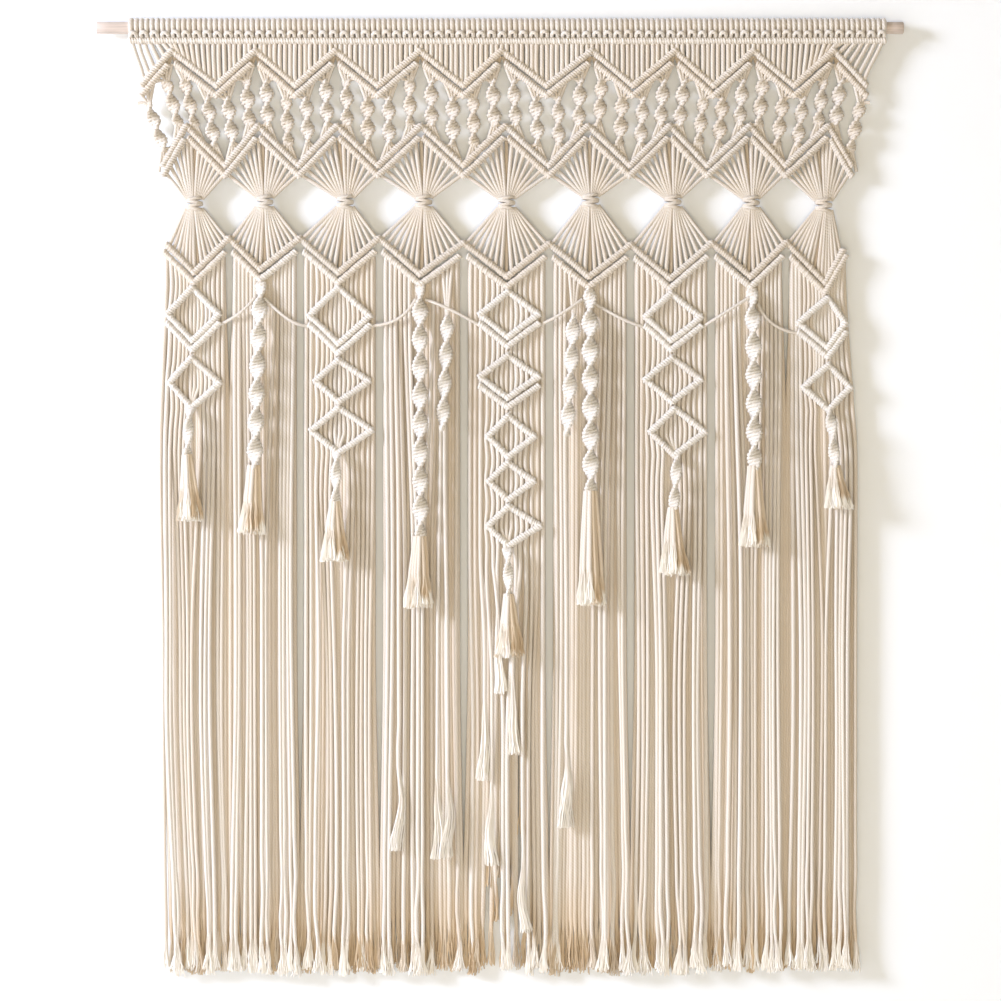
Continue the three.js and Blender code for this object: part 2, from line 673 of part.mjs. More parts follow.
function sideSpirals(number) {
  return SIDE_SPIRALS.filter(({ drop }) => drop === number).flatMap((entry) => {
    const { topZ, footX, footZ, width } = entry;
    const shape = { topY: TWIST_TOP_Y, footY: SIDE_FRONT, ...halfTurns(topZ - footZ) };
    const tails = SHORT_CORDS.filter(({ drop, x }) => drop === number && Math.abs(x - footX) < width / 2);
    return [
      twist(oblong(width, TWIST_FLATNESS * width), { ...entry, ...shape }),
      ...tails.map(({ x, foot }, k) => {
        const root = new THREE.Vector3(footX + (k ? TAIL_OFFSET : -TAIL_OFFSET), SIDE_FRONT, footZ + BURIED);
        return cord(root, new THREE.Vector3(x, SIDE_FRONT, foot), CORD_RADIUS);
      }),
    ];
  });
}

function dropMesh(i) {
  const number = i + 1;
  const path = dropPath(i);
  const anchor = new THREE.Vector3(REPEATS[i].tipX, 0, REPEATS[i].tipZ);
  const shapes = [
    row(path, -ROW_GAP / 2, -ROW_HEIGHT),
    ...hangingCords(number, path),
    ...DIAMONDS.filter(({ drop }) => drop === number).flatMap(diamond),
    ...TWISTS.filter(({ drop }) => drop === number).flatMap(twistWithTassel),
    ...sideSpirals(number),
  ];
  return meshOf(`drop_${number}`, joined(shapes), COTTON, anchor);
}

// A single cord that swings in front of the hanging cords.
function swagMesh(swag, i) {
  const [from, middle, to] = [
    new THREE.Vector3(swag.fromX, SWAG_Y, swag.fromZ),
    new THREE.Vector3(swag.midX, SWAG_Y - SWAG_BOW, swag.midZ),
    new THREE.Vector3(swag.toX, SWAG_Y - SWAG_BOW / 2, swag.toZ),
  ];
  const extrudePath = new THREE.CatmullRomCurve3([from, middle, to]);
  const geometry = new THREE.ExtrudeGeometry(triangle(CORD_RADIUS), { steps: SWAG_STEPS, extrudePath });
  return meshOf(`swag_${i + 1}`, solidOf(geometry), COTTON);
}

const curtain = new THREE.Group();
curtain.add(rodMesh(), headingMesh(), netMesh());
curtain.add(...REPEATS.map((_, i) => dropMesh(i)));
curtain.add(...SWAGS.map(swagMesh));

export default curtain;
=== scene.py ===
"""Macrame door curtain on a wooden rod: cords, knots, finishes and studio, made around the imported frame."""

import math
import random
from collections import namedtuple

import bmesh
import bpy
from bpy.props import FloatProperty, FloatVectorProperty, IntProperty, PointerProperty
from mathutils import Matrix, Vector


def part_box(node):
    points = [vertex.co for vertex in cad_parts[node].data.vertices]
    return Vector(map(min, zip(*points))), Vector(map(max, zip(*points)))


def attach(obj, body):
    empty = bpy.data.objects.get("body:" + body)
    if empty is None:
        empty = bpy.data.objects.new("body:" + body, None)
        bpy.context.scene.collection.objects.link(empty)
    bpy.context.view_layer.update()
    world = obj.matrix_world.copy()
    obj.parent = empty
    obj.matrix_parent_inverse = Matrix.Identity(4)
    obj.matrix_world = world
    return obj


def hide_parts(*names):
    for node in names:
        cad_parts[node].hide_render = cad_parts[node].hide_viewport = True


bl_info = {
    "name": "Macrame Door Curtain",
    "version": (1, 0, 0),
    "blender": (4, 5, 0),
    "location": "View3D > Sidebar > Curtain",
    "description": "Makes a macrame door curtain on a wooden rod, cord by cord and knot by knot",
    "category": "Add Mesh",
}

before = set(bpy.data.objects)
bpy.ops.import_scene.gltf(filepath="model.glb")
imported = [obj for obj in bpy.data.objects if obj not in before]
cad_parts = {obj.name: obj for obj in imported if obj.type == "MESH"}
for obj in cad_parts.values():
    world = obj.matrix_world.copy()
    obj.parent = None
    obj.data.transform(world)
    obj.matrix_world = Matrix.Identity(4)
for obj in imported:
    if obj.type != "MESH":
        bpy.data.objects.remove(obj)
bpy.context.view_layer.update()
MM = 0.001

# Levels and widths in millimetres, from the frame where a solid gives them
ROD_LOW, ROD_HIGH = (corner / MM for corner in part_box("rod"))
HEADING_LOW, HEADING_HIGH = (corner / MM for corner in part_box("heading"))
# The last loops are pushed together, a little short of the solid's end
HEADING_SHORT = 9
HEADING_END = HEADING_HIGH.x - HEADING_SHORT
ROD_RADIUS = (ROD_HIGH.z - ROD_LOW.z) / 2
HEM_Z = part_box("drop_1")[0].z / MM
BAR_Z = -15.6
CROWN_1_Z, FOOT_1_Z = -34.7, -78.1
CROWN_2_Z, FOOT_2_Z = -127.7, -177.3
ROW_HEIGHT = 12.4
# From the middle of a double bar to the roots of its cords, just inside the outer edge
ROOT_OUT = ROW_HEIGHT - 3
SLIT_HALF = 5.0
SEAM_HALF = 5.5
BAR_Y = -1.6
DIAMOND_Y = -3.6
CROSSING_LIFT = 1.5

# How many cords and knots
LOOPS = 72
CORDS_PER_LEG = 8
ODD_CORDS = 15
ODD_SKIPPED = (6, 7, 8)
EVEN_CORDS = 16
EVEN_SKIPPED = (6, 7, 8, 9)
# Faces around the cords of the heading and the net
CLOSE_SIDES = 6

# Kinds of work along a line
CORD, HITCHES, HALF_KNOTS, BRUSH = range(4)

# Places of the work in millimetres: x along the rod, z up from its axis
Repeat = namedtuple("Repeat", "crown1 crown2 knot_x knot_z tip_x tip_z")
REPEATS = [
    Repeat(-407, -389, -379, -218, -379, -310),
    Repeat(-303, -300, -292, -216, -297, -306),
    Repeat(-204, -202, -192, -216, -200, -310),
    Repeat(-99, -98, -95, -216, -99, -312),
    Repeat(2, 7, 8, -217, 9, -315),
    Repeat(114, 109, 112, -214, 110, -315),
    Repeat(217, 210, 214, -216, 211, -317),
    Repeat(314, 309, 311, -217, 311, -315),
    Repeat(414, 407, 401, -220, 403, -322),
]

Seam = namedtuple("Seam", "foot1 foot2 cross_x cross_z")
SEAMS = [
    Seam(-444, -417, -413, -275),
    Seam(-351, -340, -336, -267),
    Seam(-253, -249, -248, -267),
    Seam(-151, -151, -150, -267),
    Seam(-45, -45, -45, -273),
    Seam(58, 61, 61, -274),
    Seam(165, 161, 162, -275),
    Seam(265, 257, 262, -273),
    Seam(365, 354, 355, -272),
    Seam(454, 436, 425, -282),
]

Diamond = namedtuple("Diamond", "drop x left right top bottom rows")
DIAMONDS = [
    Diamond(1, -381, -412, -348, -322, -388, 2),
    Diamond(1, -382, -409, -347, -409, -471, 1),
    Diamond(3, -200, -236, -161, -322, -392, 2),
    Diamond(3, -200, -229, -162, -412, -464, 1),
    Diamond(3, -200, -234, -159, -471, -527, 1),
    Diamond(5, 10, -25, 48, -327, -384, 2),
    Diamond(5, 10, -25, 48, -406, -459, 2),
    Diamond(5, 10, -15, 43, -481, -532, 1),
    Diamond(5, 10, -14, 42, -539, -585, 1),
    Diamond(5, 11, -15, 50, -593, -642, 1),
    Diamond(7, 212, 180, 249, -329, -388, 2),
    Diamond(7, 213, 180, 249, -409, -464, 1),
    Diamond(7, 216, 186, 254, -472, -530, 1),
    Diamond(9, 406, 370, 428, -335, -397, 2),
    Diamond(9, 407, 376, 434, -418, -474, 1),
]

Twist = namedtuple("Twist", "drop top_x top_z foot_x foot_z hem_x hem_z width flare")
TWISTS = [
    Twist(1, -383, -466, -386, -534, -382, -610, 15, 27),
    Twist(2, -296, -316, -303, -547, -306, -626, 22, 28),
    Twist(3, -202, -523, -203, -592, -203, -660, 15, 30),
    Twist(4, -99, -321, -98, -635, -100, -717, 22, 32),
    Twist(5, 9, -640, 11, -706, 12, -778, 15, 31),
    Twist(6, 111, -325, 112, -579, 114, -714, 23, 31),
    Twist(7, 219, -527, 214, -599, 217, -677, 16, 33),
    Twist(8, 312, -324, 314, -548, 315, -642, 22, 33),
    Twist(9, 407, -471, 414, -548, 419, -596, 16, 30),
]

SideSpiral = namedtuple("SideSpiral", "drop top_x top_z foot_x foot_z width")
SIDE_SPIRALS = [
    SideSpiral(4, -65, -358, -71, -498, 19),
    SideSpiral(6, 91, -357, 83, -505, 20),
]

ShortCord = namedtuple("ShortCord", "drop x foot")
SHORT_CORDS = [
    ShortCord(4, -125, -1017),
    ShortCord(4, -77, -1027),
    ShortCord(4, -66, -1027),
    ShortCord(5, -2, -823),
    ShortCord(5, 17, -898),
    ShortCord(5, -19, -930),
    ShortCord(5, -10, -1035),
    ShortCord(5, 28, -1118),
    ShortCord(6, 96, -853),
    ShortCord(6, 82, -988),
]

Swag = namedtuple("Swag", "from_x from_z mid_x mid_z to_x to_z")
SWAGS = [
    Swag(-340.9, -356, -322, -354, -307, -338),
    Swag(-242.9, -357.5, -261, -362, -288.5, -338),
    Swag(-153.4, -357.5, -126, -361, -107.8, -340),
    Swag(-32.6, -356, -61, -350, -89, -340),
    Swag(56.2, -356, 74, -356, 98.6, -340),
    Swag(173, -359, 151, -361, 120.3, -345),
    Swag(257, -359, 273, -357, 304.8, -338),
    Swag(362.2, -366.5, 337, -367, 322.4, -345),
]


class CurtainCord(bpy.types.PropertyGroup):
    """Sizes and colours of the cotton cord."""

    radius: FloatProperty(
        name="Radius", description="Half the cord's thickness",
        default=2.3 * MM, min=0.5 * MM, unit="LENGTH",
    )
    hitch_radius: FloatProperty(
        name="Hitch radius", description="Half the cord's thickness where it is drawn tight",
        default=2.0 * MM, min=0.5 * MM, unit="LENGTH",
    )
    knot_radius: FloatProperty(
        name="Knot radius", description="Half the cord's thickness in a spiral",
        default=2.4 * MM, min=0.5 * MM, unit="LENGTH",
    )
    strand_radius: FloatProperty(
        name="Strand radius", description="Half the thickness of one frayed strand",
        default=0.75 * MM, min=0.1 * MM, unit="LENGTH",
    )
    lay: FloatProperty(
        name="Lay", description="Length of one full turn of the cord's plies",
        default=11 * MM, min=2 * MM, unit="LENGTH",
    )
    sides: IntProperty(
        name="Sides", description="Faces around a hanging cord", default=8, min=3,
    )
    knot_sides: IntProperty(
        name="Knot sides", description="Faces around a cord in a knot", default=6, min=3,
    )
    crown_colour: FloatVectorProperty(
        name="Crown colour", description="Colour of the plies where they stand out",
        default=(0.768, 0.744, 0.706), min=0, max=1, subtype="COLOR",
    )
    # Painted shade: the grooves between the plies are coloured darker, as shade falls in them
    painted_groove_shade: FloatVectorProperty(
        name="Groove colour", description="Colour of the grooves between the plies",
        default=(0.688, 0.626, 0.535), min=0, max=1, subtype="COLOR",
    )
    # Brown that cords are mixed towards: a little for their random tone, and more as painted shade on cords
    # that lie behind or on a shaded side
    shade_colour: FloatVectorProperty(
        name="Shade colour", description="Colour of the warmer cords",
        default=(0.62, 0.468, 0.285), min=0, max=1, subtype="COLOR",
    )
    tip_colour: FloatVectorProperty(
        name="Tip colour", description="Colour of the frayed ends",
        default=(0.935, 0.908, 0.85), min=0, max=1, subtype="COLOR",
    )
    # Painted shade: the heading's cords down to the short spirals, and the fans with their zigzags, use
    # darker copies of the cord so the top of the curtain reads darker
    head_painted_shade: FloatProperty(
        name="Head depth", description="Share of the cord's brightness kept down to the short spirals",
        default=0.98, min=0, max=1, subtype="FACTOR",
    )
    net_painted_shade: FloatProperty(
        name="Net depth", description="Share of the cord's brightness kept in the fans and their zigzags",
        default=0.95, min=0, max=1, subtype="FACTOR",
    )
    wood_colour: FloatVectorProperty(
        name="Wood colour", description="Colour of the rod between its grain lines",
        default=(0.69, 0.59, 0.52), min=0, max=1, subtype="COLOR",
    )


class CurtainKnots(bpy.types.PropertyGroup):
    """Sizes of the hitches and half knots."""

    hitch_pitch: FloatProperty(
        name="Hitch pitch", description="Distance from one hitch to the next along a bar",
        default=3.1 * MM, min=1 * MM, unit="LENGTH",
    )
    heading_pitch: FloatProperty(
        name="Heading pitch", description="Distance from one hitch to the next along the heading bar",
        default=3.29 * MM, min=1 * MM, unit="LENGTH",
    )
    bar_half: FloatProperty(
        name="Bar half height", description="From a bar's middle to its edge",
        default=4.6 * MM, min=1 * MM, unit="LENGTH",
    )
    bar_depth: FloatProperty(
        name="Bar depth", description="How far the hitches bow out in front of a bar",
        default=3.4 * MM, min=0, unit="LENGTH",
    )
    hitch_slant: FloatProperty(
        name="Hitch slant", description="How far a hitch leans along its bar",
        default=0.9 * MM, unit="LENGTH",
    )
    knot_pitch: FloatProperty(
        name="Half-knot pitch", description="Length of a spiral taken by one turn of its working cords",
        default=8.0 * MM, min=2 * MM, unit="LENGTH",
    )
    half_turn: FloatProperty(
        name="Half turn", description="Length of a spiral in which its flat section turns half round",
        default=35 * MM, min=5 * MM, unit="LENGTH",
    )
    flatness: FloatProperty(
        name="Flatness", description="Depth of a spiral's section over its width",
        default=0.12, min=0, max=1, subtype="FACTOR",
    )


class CurtainFringe(bpy.types.PropertyGroup):
    """How the hanging cords hang and fray."""

    depth: FloatProperty(
        name="Depth", description="How far the hanging cords stand before and behind each other",
        default=6.2 * MM, min=0, unit="LENGTH",
    )
    sway: FloatProperty(
        name="Sway", description="How far a hanging cord strays to the side near the hem",
        default=2.6 * MM, min=0, unit="LENGTH",
    )
    fray: FloatProperty(
        name="Fray", description="Length of a frayed end",
        default=46 * MM, min=0, unit="LENGTH",
    )
    fray_reach: FloatProperty(
        name="Fray reach", description="Half the width of a frayed end",
        default=7.6 * MM, min=0, unit="LENGTH",
    )
    fray_strands: IntProperty(
        name="Fray strands", description="Strands in a frayed end", default=26, min=3,
    )
    back_strands: IntProperty(
        name="Back strands", description="Strands in a frayed end at the back", default=12, min=3,
    )
    tassel_cords: IntProperty(
        name="Tassel cords", description="Cords in a tassel", default=18, min=3,
    )
    tassel_fray: FloatProperty(
        name="Tassel fray", description="Length of the frayed ends of a tassel",
        default=42 * MM, min=0, unit="LENGTH",
    )
    seed: IntProperty(
        name="Seed", description="Start of the random draws", default=7,
    )


class CurtainStage(bpy.types.PropertyGroup):
    """Camera, light and backdrop."""

    view_width: FloatProperty(
        name="View width", description="Width of the picture at the curtain",
        default=1.2412, min=0.1, unit="LENGTH",
    )
    view_z: FloatProperty(
        name="View height", description="Height of the picture's middle",
        default=-0.5859, unit="LENGTH",
    )
    lens: FloatProperty(
        name="Lens", description="Focal length of the camera",
        default=100, min=20, unit="CAMERA",
    )
    wall_gap: FloatProperty(
        name="Wall gap", description="From the rod's axis back to the wall",
        default=0.016, min=0, unit="LENGTH",
    )
    floor_z: FloatProperty(
        name="Floor height", description="Height of the floor", default=-1.34, unit="LENGTH",
    )
    key_power: FloatProperty(
        name="Key power", description="Power of the soft light from the upper left",
        default=220, min=0, unit="POWER",
    )
    fill_power: FloatProperty(
        name="Fill power", description="Power of the broad light from the front",
        default=38, min=0, unit="POWER",
    )
    sky_strength: FloatProperty(
        name="Sky strength", description="Strength of the even warm surroundings",
        default=0.315, min=0,
    )


# Node trees

NODE_SPACING = 180


def add_node(tree, kind, inputs=None, **settings):
    """Add a node, with its settings and with values or links on its inputs."""
    node = tree.nodes.new(kind)
    node.location.x = NODE_SPACING * len(tree.nodes)
    for key, value in settings.items():
        setattr(node, key, value)
    for key, value in (inputs or {}).items():
        if isinstance(value, bpy.types.NodeSocket):
            tree.links.new(value, node.inputs[key])
        else:
            node.inputs[key].default_value = value
    return node


def maths(tree, operation, first, second=0.0):
    """One step of arithmetic."""
    return add_node(tree, "ShaderNodeMath", {0: first, 1: second}, operation=operation).outputs[0]


def ranged(tree, value, start, end, low=0.0, high=1.0):
    """A value that goes from low to high, and no further, as another goes from start to end."""
    inputs = {"Value": value, "From Min": start, "From Max": end, "To Min": low, "To Max": high}
    return add_node(tree, "ShaderNodeMapRange", inputs).outputs[0]


def named(tree, name, data_type="FLOAT"):
    """A named attribute of the lines."""
    return add_node(tree, "GeometryNodeInputNamedAttribute", {"Name": name}, data_type=data_type).outputs[0]


def stored(tree, geometry, name, data_type, value, domain="POINT"):
    """Geometry with one more named attribute."""
    inputs = {"Geometry": geometry, "Name": name, "Value": value}
    kind = "GeometryNodeStoreNamedAttribute"
    return add_node(tree, kind, inputs, data_type=data_type, domain=domain).outputs[0]


def lines_for(tree, geometry, work):
    """The lines along which one kind of work is done, as curves."""
    chosen = add_node(
        tree, "FunctionNodeCompare", {2: named(tree, "work", "INT"), 3: work},
        data_type="INT", operation="EQUAL",
    ).outputs[0]
    inputs = {"Geometry": geometry, "Selection": chosen}
    part = add_node(tree, "GeometryNodeSeparateGeometry", inputs, domain="POINT").outputs[0]
    return add_node(tree, "GeometryNodeMeshToCurve", {"Mesh": part}).outputs[0]


def swept(tree, curve, radius, sides):
    """A round cord along curves that keeps how far along and how far around each point lies."""
    run = add_node(tree, "GeometryNodeSplineParameter").outputs["Length"]
    curve = stored(tree, curve, "along", "FLOAT", run)
    circle = add_node(
        tree, "GeometryNodeCurvePrimitiveCircle", {"Resolution": sides, "Radius": 1.0}, mode="RADIUS",
    ).outputs[0]
    place = add_node(tree, "GeometryNodeInputPosition").outputs[0]
    circle = stored(tree, circle, "around", "FLOAT_VECTOR", place)
    inputs = {"Curve": curve, "Profile Curve": circle, "Scale": radius, "Fill Caps": True}
    return add_node(tree, "GeometryNodeCurveToMesh", inputs).outputs[0]


def plain_cords(tree, geometry, size):
    """Cords as thick as the reach of their lines."""
    line = lines_for(tree, geometry, CORD)
    return swept(tree, line, named(tree, "reach"), size["Cord sides"])


HITCH_POINTS = 7
HITCH_SWEEP = math.radians(112)
HITCH_LEAST, HITCH_MOST = 0.93, 1.08
FRONT = (0.0, -1.0, 0.0)


def hitch_rows(tree, geometry, size):
    """Hitches set side by side along bars, each a cord bowed over the front from edge to edge."""
    line = lines_for(tree, geometry, HITCHES)
    inputs = {"Curve": line, "Length": size["Hitch pitch"]}
    spots = add_node(tree, "GeometryNodeCurveToPoints", inputs, mode="LENGTH")
    facing = add_node(
        tree, "FunctionNodeAxesToRotation",
        {"Primary Axis": spots.outputs["Tangent"], "Secondary Axis": FRONT},
        primary_axis="X", secondary_axis="Y",
    ).outputs[0]
    inputs = {
        "Resolution": HITCH_POINTS,
        "Radius": 1.0,
        "Start Angle": -HITCH_SWEEP,
        "Sweep Angle": 2 * HITCH_SWEEP,
    }
    arc = add_node(tree, "GeometryNodeCurveArc", inputs, mode="RADIUS").outputs[0]
    place = add_node(tree, "GeometryNodeInputPosition").outputs[0]
    unit = add_node(tree, "ShaderNodeSeparateXYZ", {0: place}).outputs
    edge = maths(tree, "SUBTRACT", size["Bar half height"], size["Hitch radius"])
    bow = add_node(tree, "ShaderNodeCombineXYZ", {
        "X": maths(tree, "MULTIPLY", unit["Y"], size["Hitch slant"]),
        "Y": maths(tree, "MULTIPLY", unit["X"], size["Bar depth"]),
        "Z": maths(tree, "MULTIPLY", unit["Y"], edge),
    }).outputs[0]
    bowed = add_node(tree, "GeometryNodeSetPosition", {"Geometry": arc, "Position": bow}).outputs[0]
    hitch = swept(tree, bowed, size["Hitch radius"], size["Knot sides"])
    inputs = {2: HITCH_LEAST, 3: HITCH_MOST, "Seed": size["Seed"]}
    uneven = add_node(tree, "FunctionNodeRandomValue", inputs, data_type="FLOAT").outputs[1]
    scale = maths(tree, "DIVIDE", named(tree, "reach"), size["Bar half height"])
    copies = add_node(tree, "GeometryNodeInstanceOnPoints", {
        "Points": spots.outputs["Points"],
        "Instance": hitch,
        "Rotation": facing,
        "Scale": maths(tree, "MULTIPLY", scale, uneven),
    }).outputs[0]
    return add_node(tree, "GeometryNodeRealizeInstances", {"Geometry": copies}).outputs[0]


HALF_KNOT_STEPS = 10


def half_knot_spirals(tree, geometry, size):
    """Two working cords wound about a line, over a flat section that turns on the way down."""
    line = lines_for(tree, geometry, HALF_KNOTS)
    step = maths(tree, "DIVIDE", size["Half-knot pitch"], HALF_KNOT_STEPS)
    inputs = {"Curve": line, "Length": step}
    fine = add_node(tree, "GeometryNodeResampleCurve", inputs, mode="LENGTH").outputs[0]
    inputs = {"Geometry": fine, "Amount": 2}
    pair = add_node(tree, "GeometryNodeDuplicateElements", inputs, domain="SPLINE")
    run = add_node(tree, "GeometryNodeSplineParameter").outputs["Length"]
    winding = maths(tree, "MULTIPLY", maths(tree, "DIVIDE", run, size["Half-knot pitch"]), -2 * math.pi)
    start = maths(tree, "MULTIPLY", pair.outputs["Duplicate Index"], math.pi)
    turned = maths(tree, "MULTIPLY", maths(tree, "DIVIDE", run, size["Half turn"]), -math.pi)
    first = maths(tree, "MULTIPLY", named(tree, "tone"), math.pi)
    face = maths(tree, "ADD", turned, first)
    bend = maths(tree, "SUBTRACT", maths(tree, "ADD", winding, start), face)
    wide = maths(tree, "SUBTRACT", named(tree, "reach"), size["Knot radius"])
    thin = maths(tree, "MULTIPLY", wide, size["Flatness"])
    flat = add_node(tree, "ShaderNodeCombineXYZ", {
        "X": maths(tree, "MULTIPLY", wide, maths(tree, "COSINE", bend)),
        "Y": maths(tree, "MULTIPLY", thin, maths(tree, "SINE", bend)),
    }).outputs[0]
    inputs = {"Vector": flat, "Angle": face}
    offset = add_node(tree, "ShaderNodeVectorRotate", inputs, rotation_type="Z_AXIS").outputs[0]
    inputs = {"Geometry": pair.outputs["Geometry"], "Offset": offset}
    wound = add_node(tree, "GeometryNodeSetPosition", inputs).outputs[0]
    return swept(tree, wound, size["Knot radius"], size["Knot sides"])


STRAND_SIDES = 3
BRUSH_DEPTH = 0.7
BRUSH_WAVES = 9.0
# Below one, more of the strands lie near the outside
BRUSH_CROWDING = 0.6
FRAY_START = 0.25


def frayed_brushes(tree, geometry, size):
    """Strands that leave a line and spread to its reach, each with a wave and a length of its own."""
    line = lines_for(tree, geometry, BRUSH)
    inputs = {"Geometry": line, "Amount": named(tree, "count", "INT")}
    many = add_node(tree, "GeometryNodeDuplicateElements", inputs, domain="SPLINE").outputs[0]
    inputs = {0: (0, 0, 0), 1: (1, 1, 1), "Seed": size["Seed"]}
    draw = add_node(tree, "FunctionNodeRandomValue", inputs, data_type="FLOAT_VECTOR").outputs[0]
    many = stored(tree, many, "strand", "FLOAT_VECTOR", draw, "CURVE")
    own = add_node(tree, "ShaderNodeSeparateXYZ", {0: named(tree, "strand", "FLOAT_VECTOR")}).outputs
    part = add_node(tree, "GeometryNodeSplineParameter").outputs["Factor"]
    angle = maths(tree, "MULTIPLY", own["X"], 2 * math.pi)
    away = maths(tree, "MULTIPLY", maths(tree, "POWER", own["Y"], BRUSH_CROWDING), named(tree, "reach"))
    phase = maths(tree, "MULTIPLY", own["Z"], 2 * math.pi)
    swing = maths(tree, "SINE", maths(tree, "ADD", maths(tree, "MULTIPLY", part, BRUSH_WAVES), phase))
    wave = maths(tree, "MULTIPLY", maths(tree, "MULTIPLY", swing, part), size["Strand wave"])
    slip = maths(tree, "MULTIPLY", maths(tree, "SUBTRACT", own["Z"], 0.5), size["Strand slip"])
    through = maths(tree, "MULTIPLY", away, maths(tree, "SINE", angle))
    offset = add_node(tree, "ShaderNodeCombineXYZ", {
        "X": maths(tree, "ADD", maths(tree, "MULTIPLY", away, maths(tree, "COSINE", angle)), wave),
        "Y": maths(tree, "MULTIPLY", through, BRUSH_DEPTH),
        "Z": maths(tree, "MULTIPLY", slip, part),
    }).outputs[0]
    spread = add_node(tree, "GeometryNodeSetPosition", {"Geometry": many, "Offset": offset}).outputs[0]
    loose = ranged(tree, part, 0.0, 1.0, FRAY_START)
    spread = stored(tree, spread, "fray", "FLOAT", loose)
    return swept(tree, spread, size["Strand radius"], STRAND_SIDES)


# Each kind of work, and whether its faces are smoothed
BRANCHES = [(plain_cords, True), (hitch_rows, True), (half_knot_spirals, True), (frayed_brushes, False)]

WORK_INPUTS = [
    ("Cord sides", "NodeSocketInt"),
    ("Knot sides", "NodeSocketInt"),
    ("Knot radius", "NodeSocketFloat"),
    ("Hitch radius", "NodeSocketFloat"),
    ("Hitch pitch", "NodeSocketFloat"),
    ("Bar half height", "NodeSocketFloat"),
    ("Bar depth", "NodeSocketFloat"),
    ("Hitch slant", "NodeSocketFloat"),
    ("Half-knot pitch", "NodeSocketFloat"),
    ("Half turn", "NodeSocketFloat"),
    ("Flatness", "NodeSocketFloat"),
    ("Strand radius", "NodeSocketFloat"),
    ("Strand wave", "NodeSocketFloat"),
    ("Strand slip", "NodeSocketFloat"),
    ("Seed", "NodeSocketInt"),
    ("Material", "NodeSocketMaterial"),
]


def macrame_tree():
    """The tree that turns a piece's lines into cords, hitches, half knots and frayed brushes."""
    name = "Macrame work"
    if name in bpy.data.node_groups:
        return bpy.data.node_groups[name]
    tree = bpy.data.node_groups.new(name, "GeometryNodeTree")
    tree.interface.new_socket("Lines", in_out="INPUT", socket_type="NodeSocketGeometry")
    for label, kind in WORK_INPUTS:
        tree.interface.new_socket(label, in_out="INPUT", socket_type=kind)
    tree.interface.new_socket("Curtain", in_out="OUTPUT", socket_type="NodeSocketGeometry")
    size = add_node(tree, "NodeGroupInput").outputs
    joined = add_node(tree, "GeometryNodeJoinGeometry")
    for branch, smooth in BRANCHES:
        inputs = {"Geometry": branch(tree, size["Lines"], size), "Shade Smooth": smooth}
        tree.links.new(add_node(tree, "GeometryNodeSetShadeSmooth", inputs).outputs[0], joined.inputs[0])
    whole = add_node(tree, "GeometryNodeRealizeInstances", {"Geometry": joined.outputs[0]}).outputs[0]
    inputs = {"Geometry": whole, "Material": size["Material"]}
    finished = add_node(tree, "GeometryNodeSetMaterial", inputs).outputs[0]
    add_node(tree, "NodeGroupOutput", {0: finished})
    return tree


# Finishes

PLIES = 3
PLY_ROUNDNESS = 0.45
FIBRE_SCALE, FIBRE_DETAIL = 1400.0, 3.0
CLOUD_SCALE, CLOUD_DETAIL = 9.0, 2.0
CLOUD_WARMTH, TONE_WARMTH = 0.14, 0.17
# Tones below zero make a cord paler, as painted light, and tones over one mark a cord with painted shade,
# which keeps it from growing paler and browns its end
PALE_TONE, PALE_MOST = -0.5, 0.15
DUSKY_FROM, DUSKY_TO = 1.0, 1.5
OPEN_END = 0.8
# Heights over the hem between which most cords grow paler, and between which the cords with painted shade
# turn brown as more painted shade
PALER_FROM, PALER_TO, PALER_MOST = 660.0, 260.0, 0.3
PAINTED_SHADE_FROM, PAINTED_SHADE_TO, PAINTED_SHADE_MOST = 120.0, 30.0, 0.75
FIBRE_RELIEF = 0.5
PLY_STRENGTH, FRAY_SOFTENING = 0.6, 2.4
PLY_RELIEF = 0.4 * MM
COTTON_ROUGHNESS = (0.82, 0.98)
COTTON_SHINE = {"Specular IOR Level": 0.2, "Sheen Weight": 0.25, "Sheen Roughness": 0.5}


def new_material(name):
    """An empty material with its tree and main shader."""
    material = bpy.data.materials.new(name)
    material.use_nodes = True
    return material, material.node_tree, material.node_tree.nodes["Principled BSDF"]


def set_values(shader, values):
    """Set a shader's own values by the names of its sockets."""
    for name, value in values.items():
        shader.inputs[name].default_value = value


def attribute(tree, name, output="Fac"):
    """An attribute that a piece's mesh keeps."""
    return add_node(tree, "ShaderNodeAttribute", attribute_name=name).outputs[output]


def noise(tree, place, scale, detail):
    """Soft random patches, so many to the metre."""
    inputs = {"Vector": place, "Scale": scale, "Detail": detail}
    return add_node(tree, "ShaderNodeTexNoise", inputs).outputs["Fac"]


def colour_mix(tree, share, first, second):
    """Two colours mixed by a share."""
    inputs = {"Factor": share, 6: first, 7: second}
    return add_node(tree, "ShaderNodeMix", inputs, data_type="RGBA").outputs[2]


def rgba(colour):
    """A colour that covers fully."""
    return (*colour, 1.0)


def ply_pattern(tree, lay):
    """Zero in the grooves between the plies that wind round a cord, one on their crowns."""
    side = add_node(tree, "ShaderNodeSeparateXYZ", {0: attribute(tree, "around", "Vector")}).outputs
    angle = maths(tree, "ARCTAN2", side["Y"], side["X"])
    winding = maths(tree, "MULTIPLY", attribute(tree, "along"), PLIES * math.pi / lay)
    wave = maths(tree, "SINE", maths(tree, "ADD", maths(tree, "MULTIPLY", angle, PLIES / 2), winding))
    return maths(tree, "ABSOLUTE", wave)


def over_hem(tree, place, start, end, most=1.0):
    """A share that grows down the curtain between two heights over the hem."""
    height = add_node(tree, "ShaderNodeSeparateXYZ", {0: place}).outputs["Z"]
    return ranged(tree, height, (HEM_Z + start) * MM, (HEM_Z + end) * MM, 0.0, most)


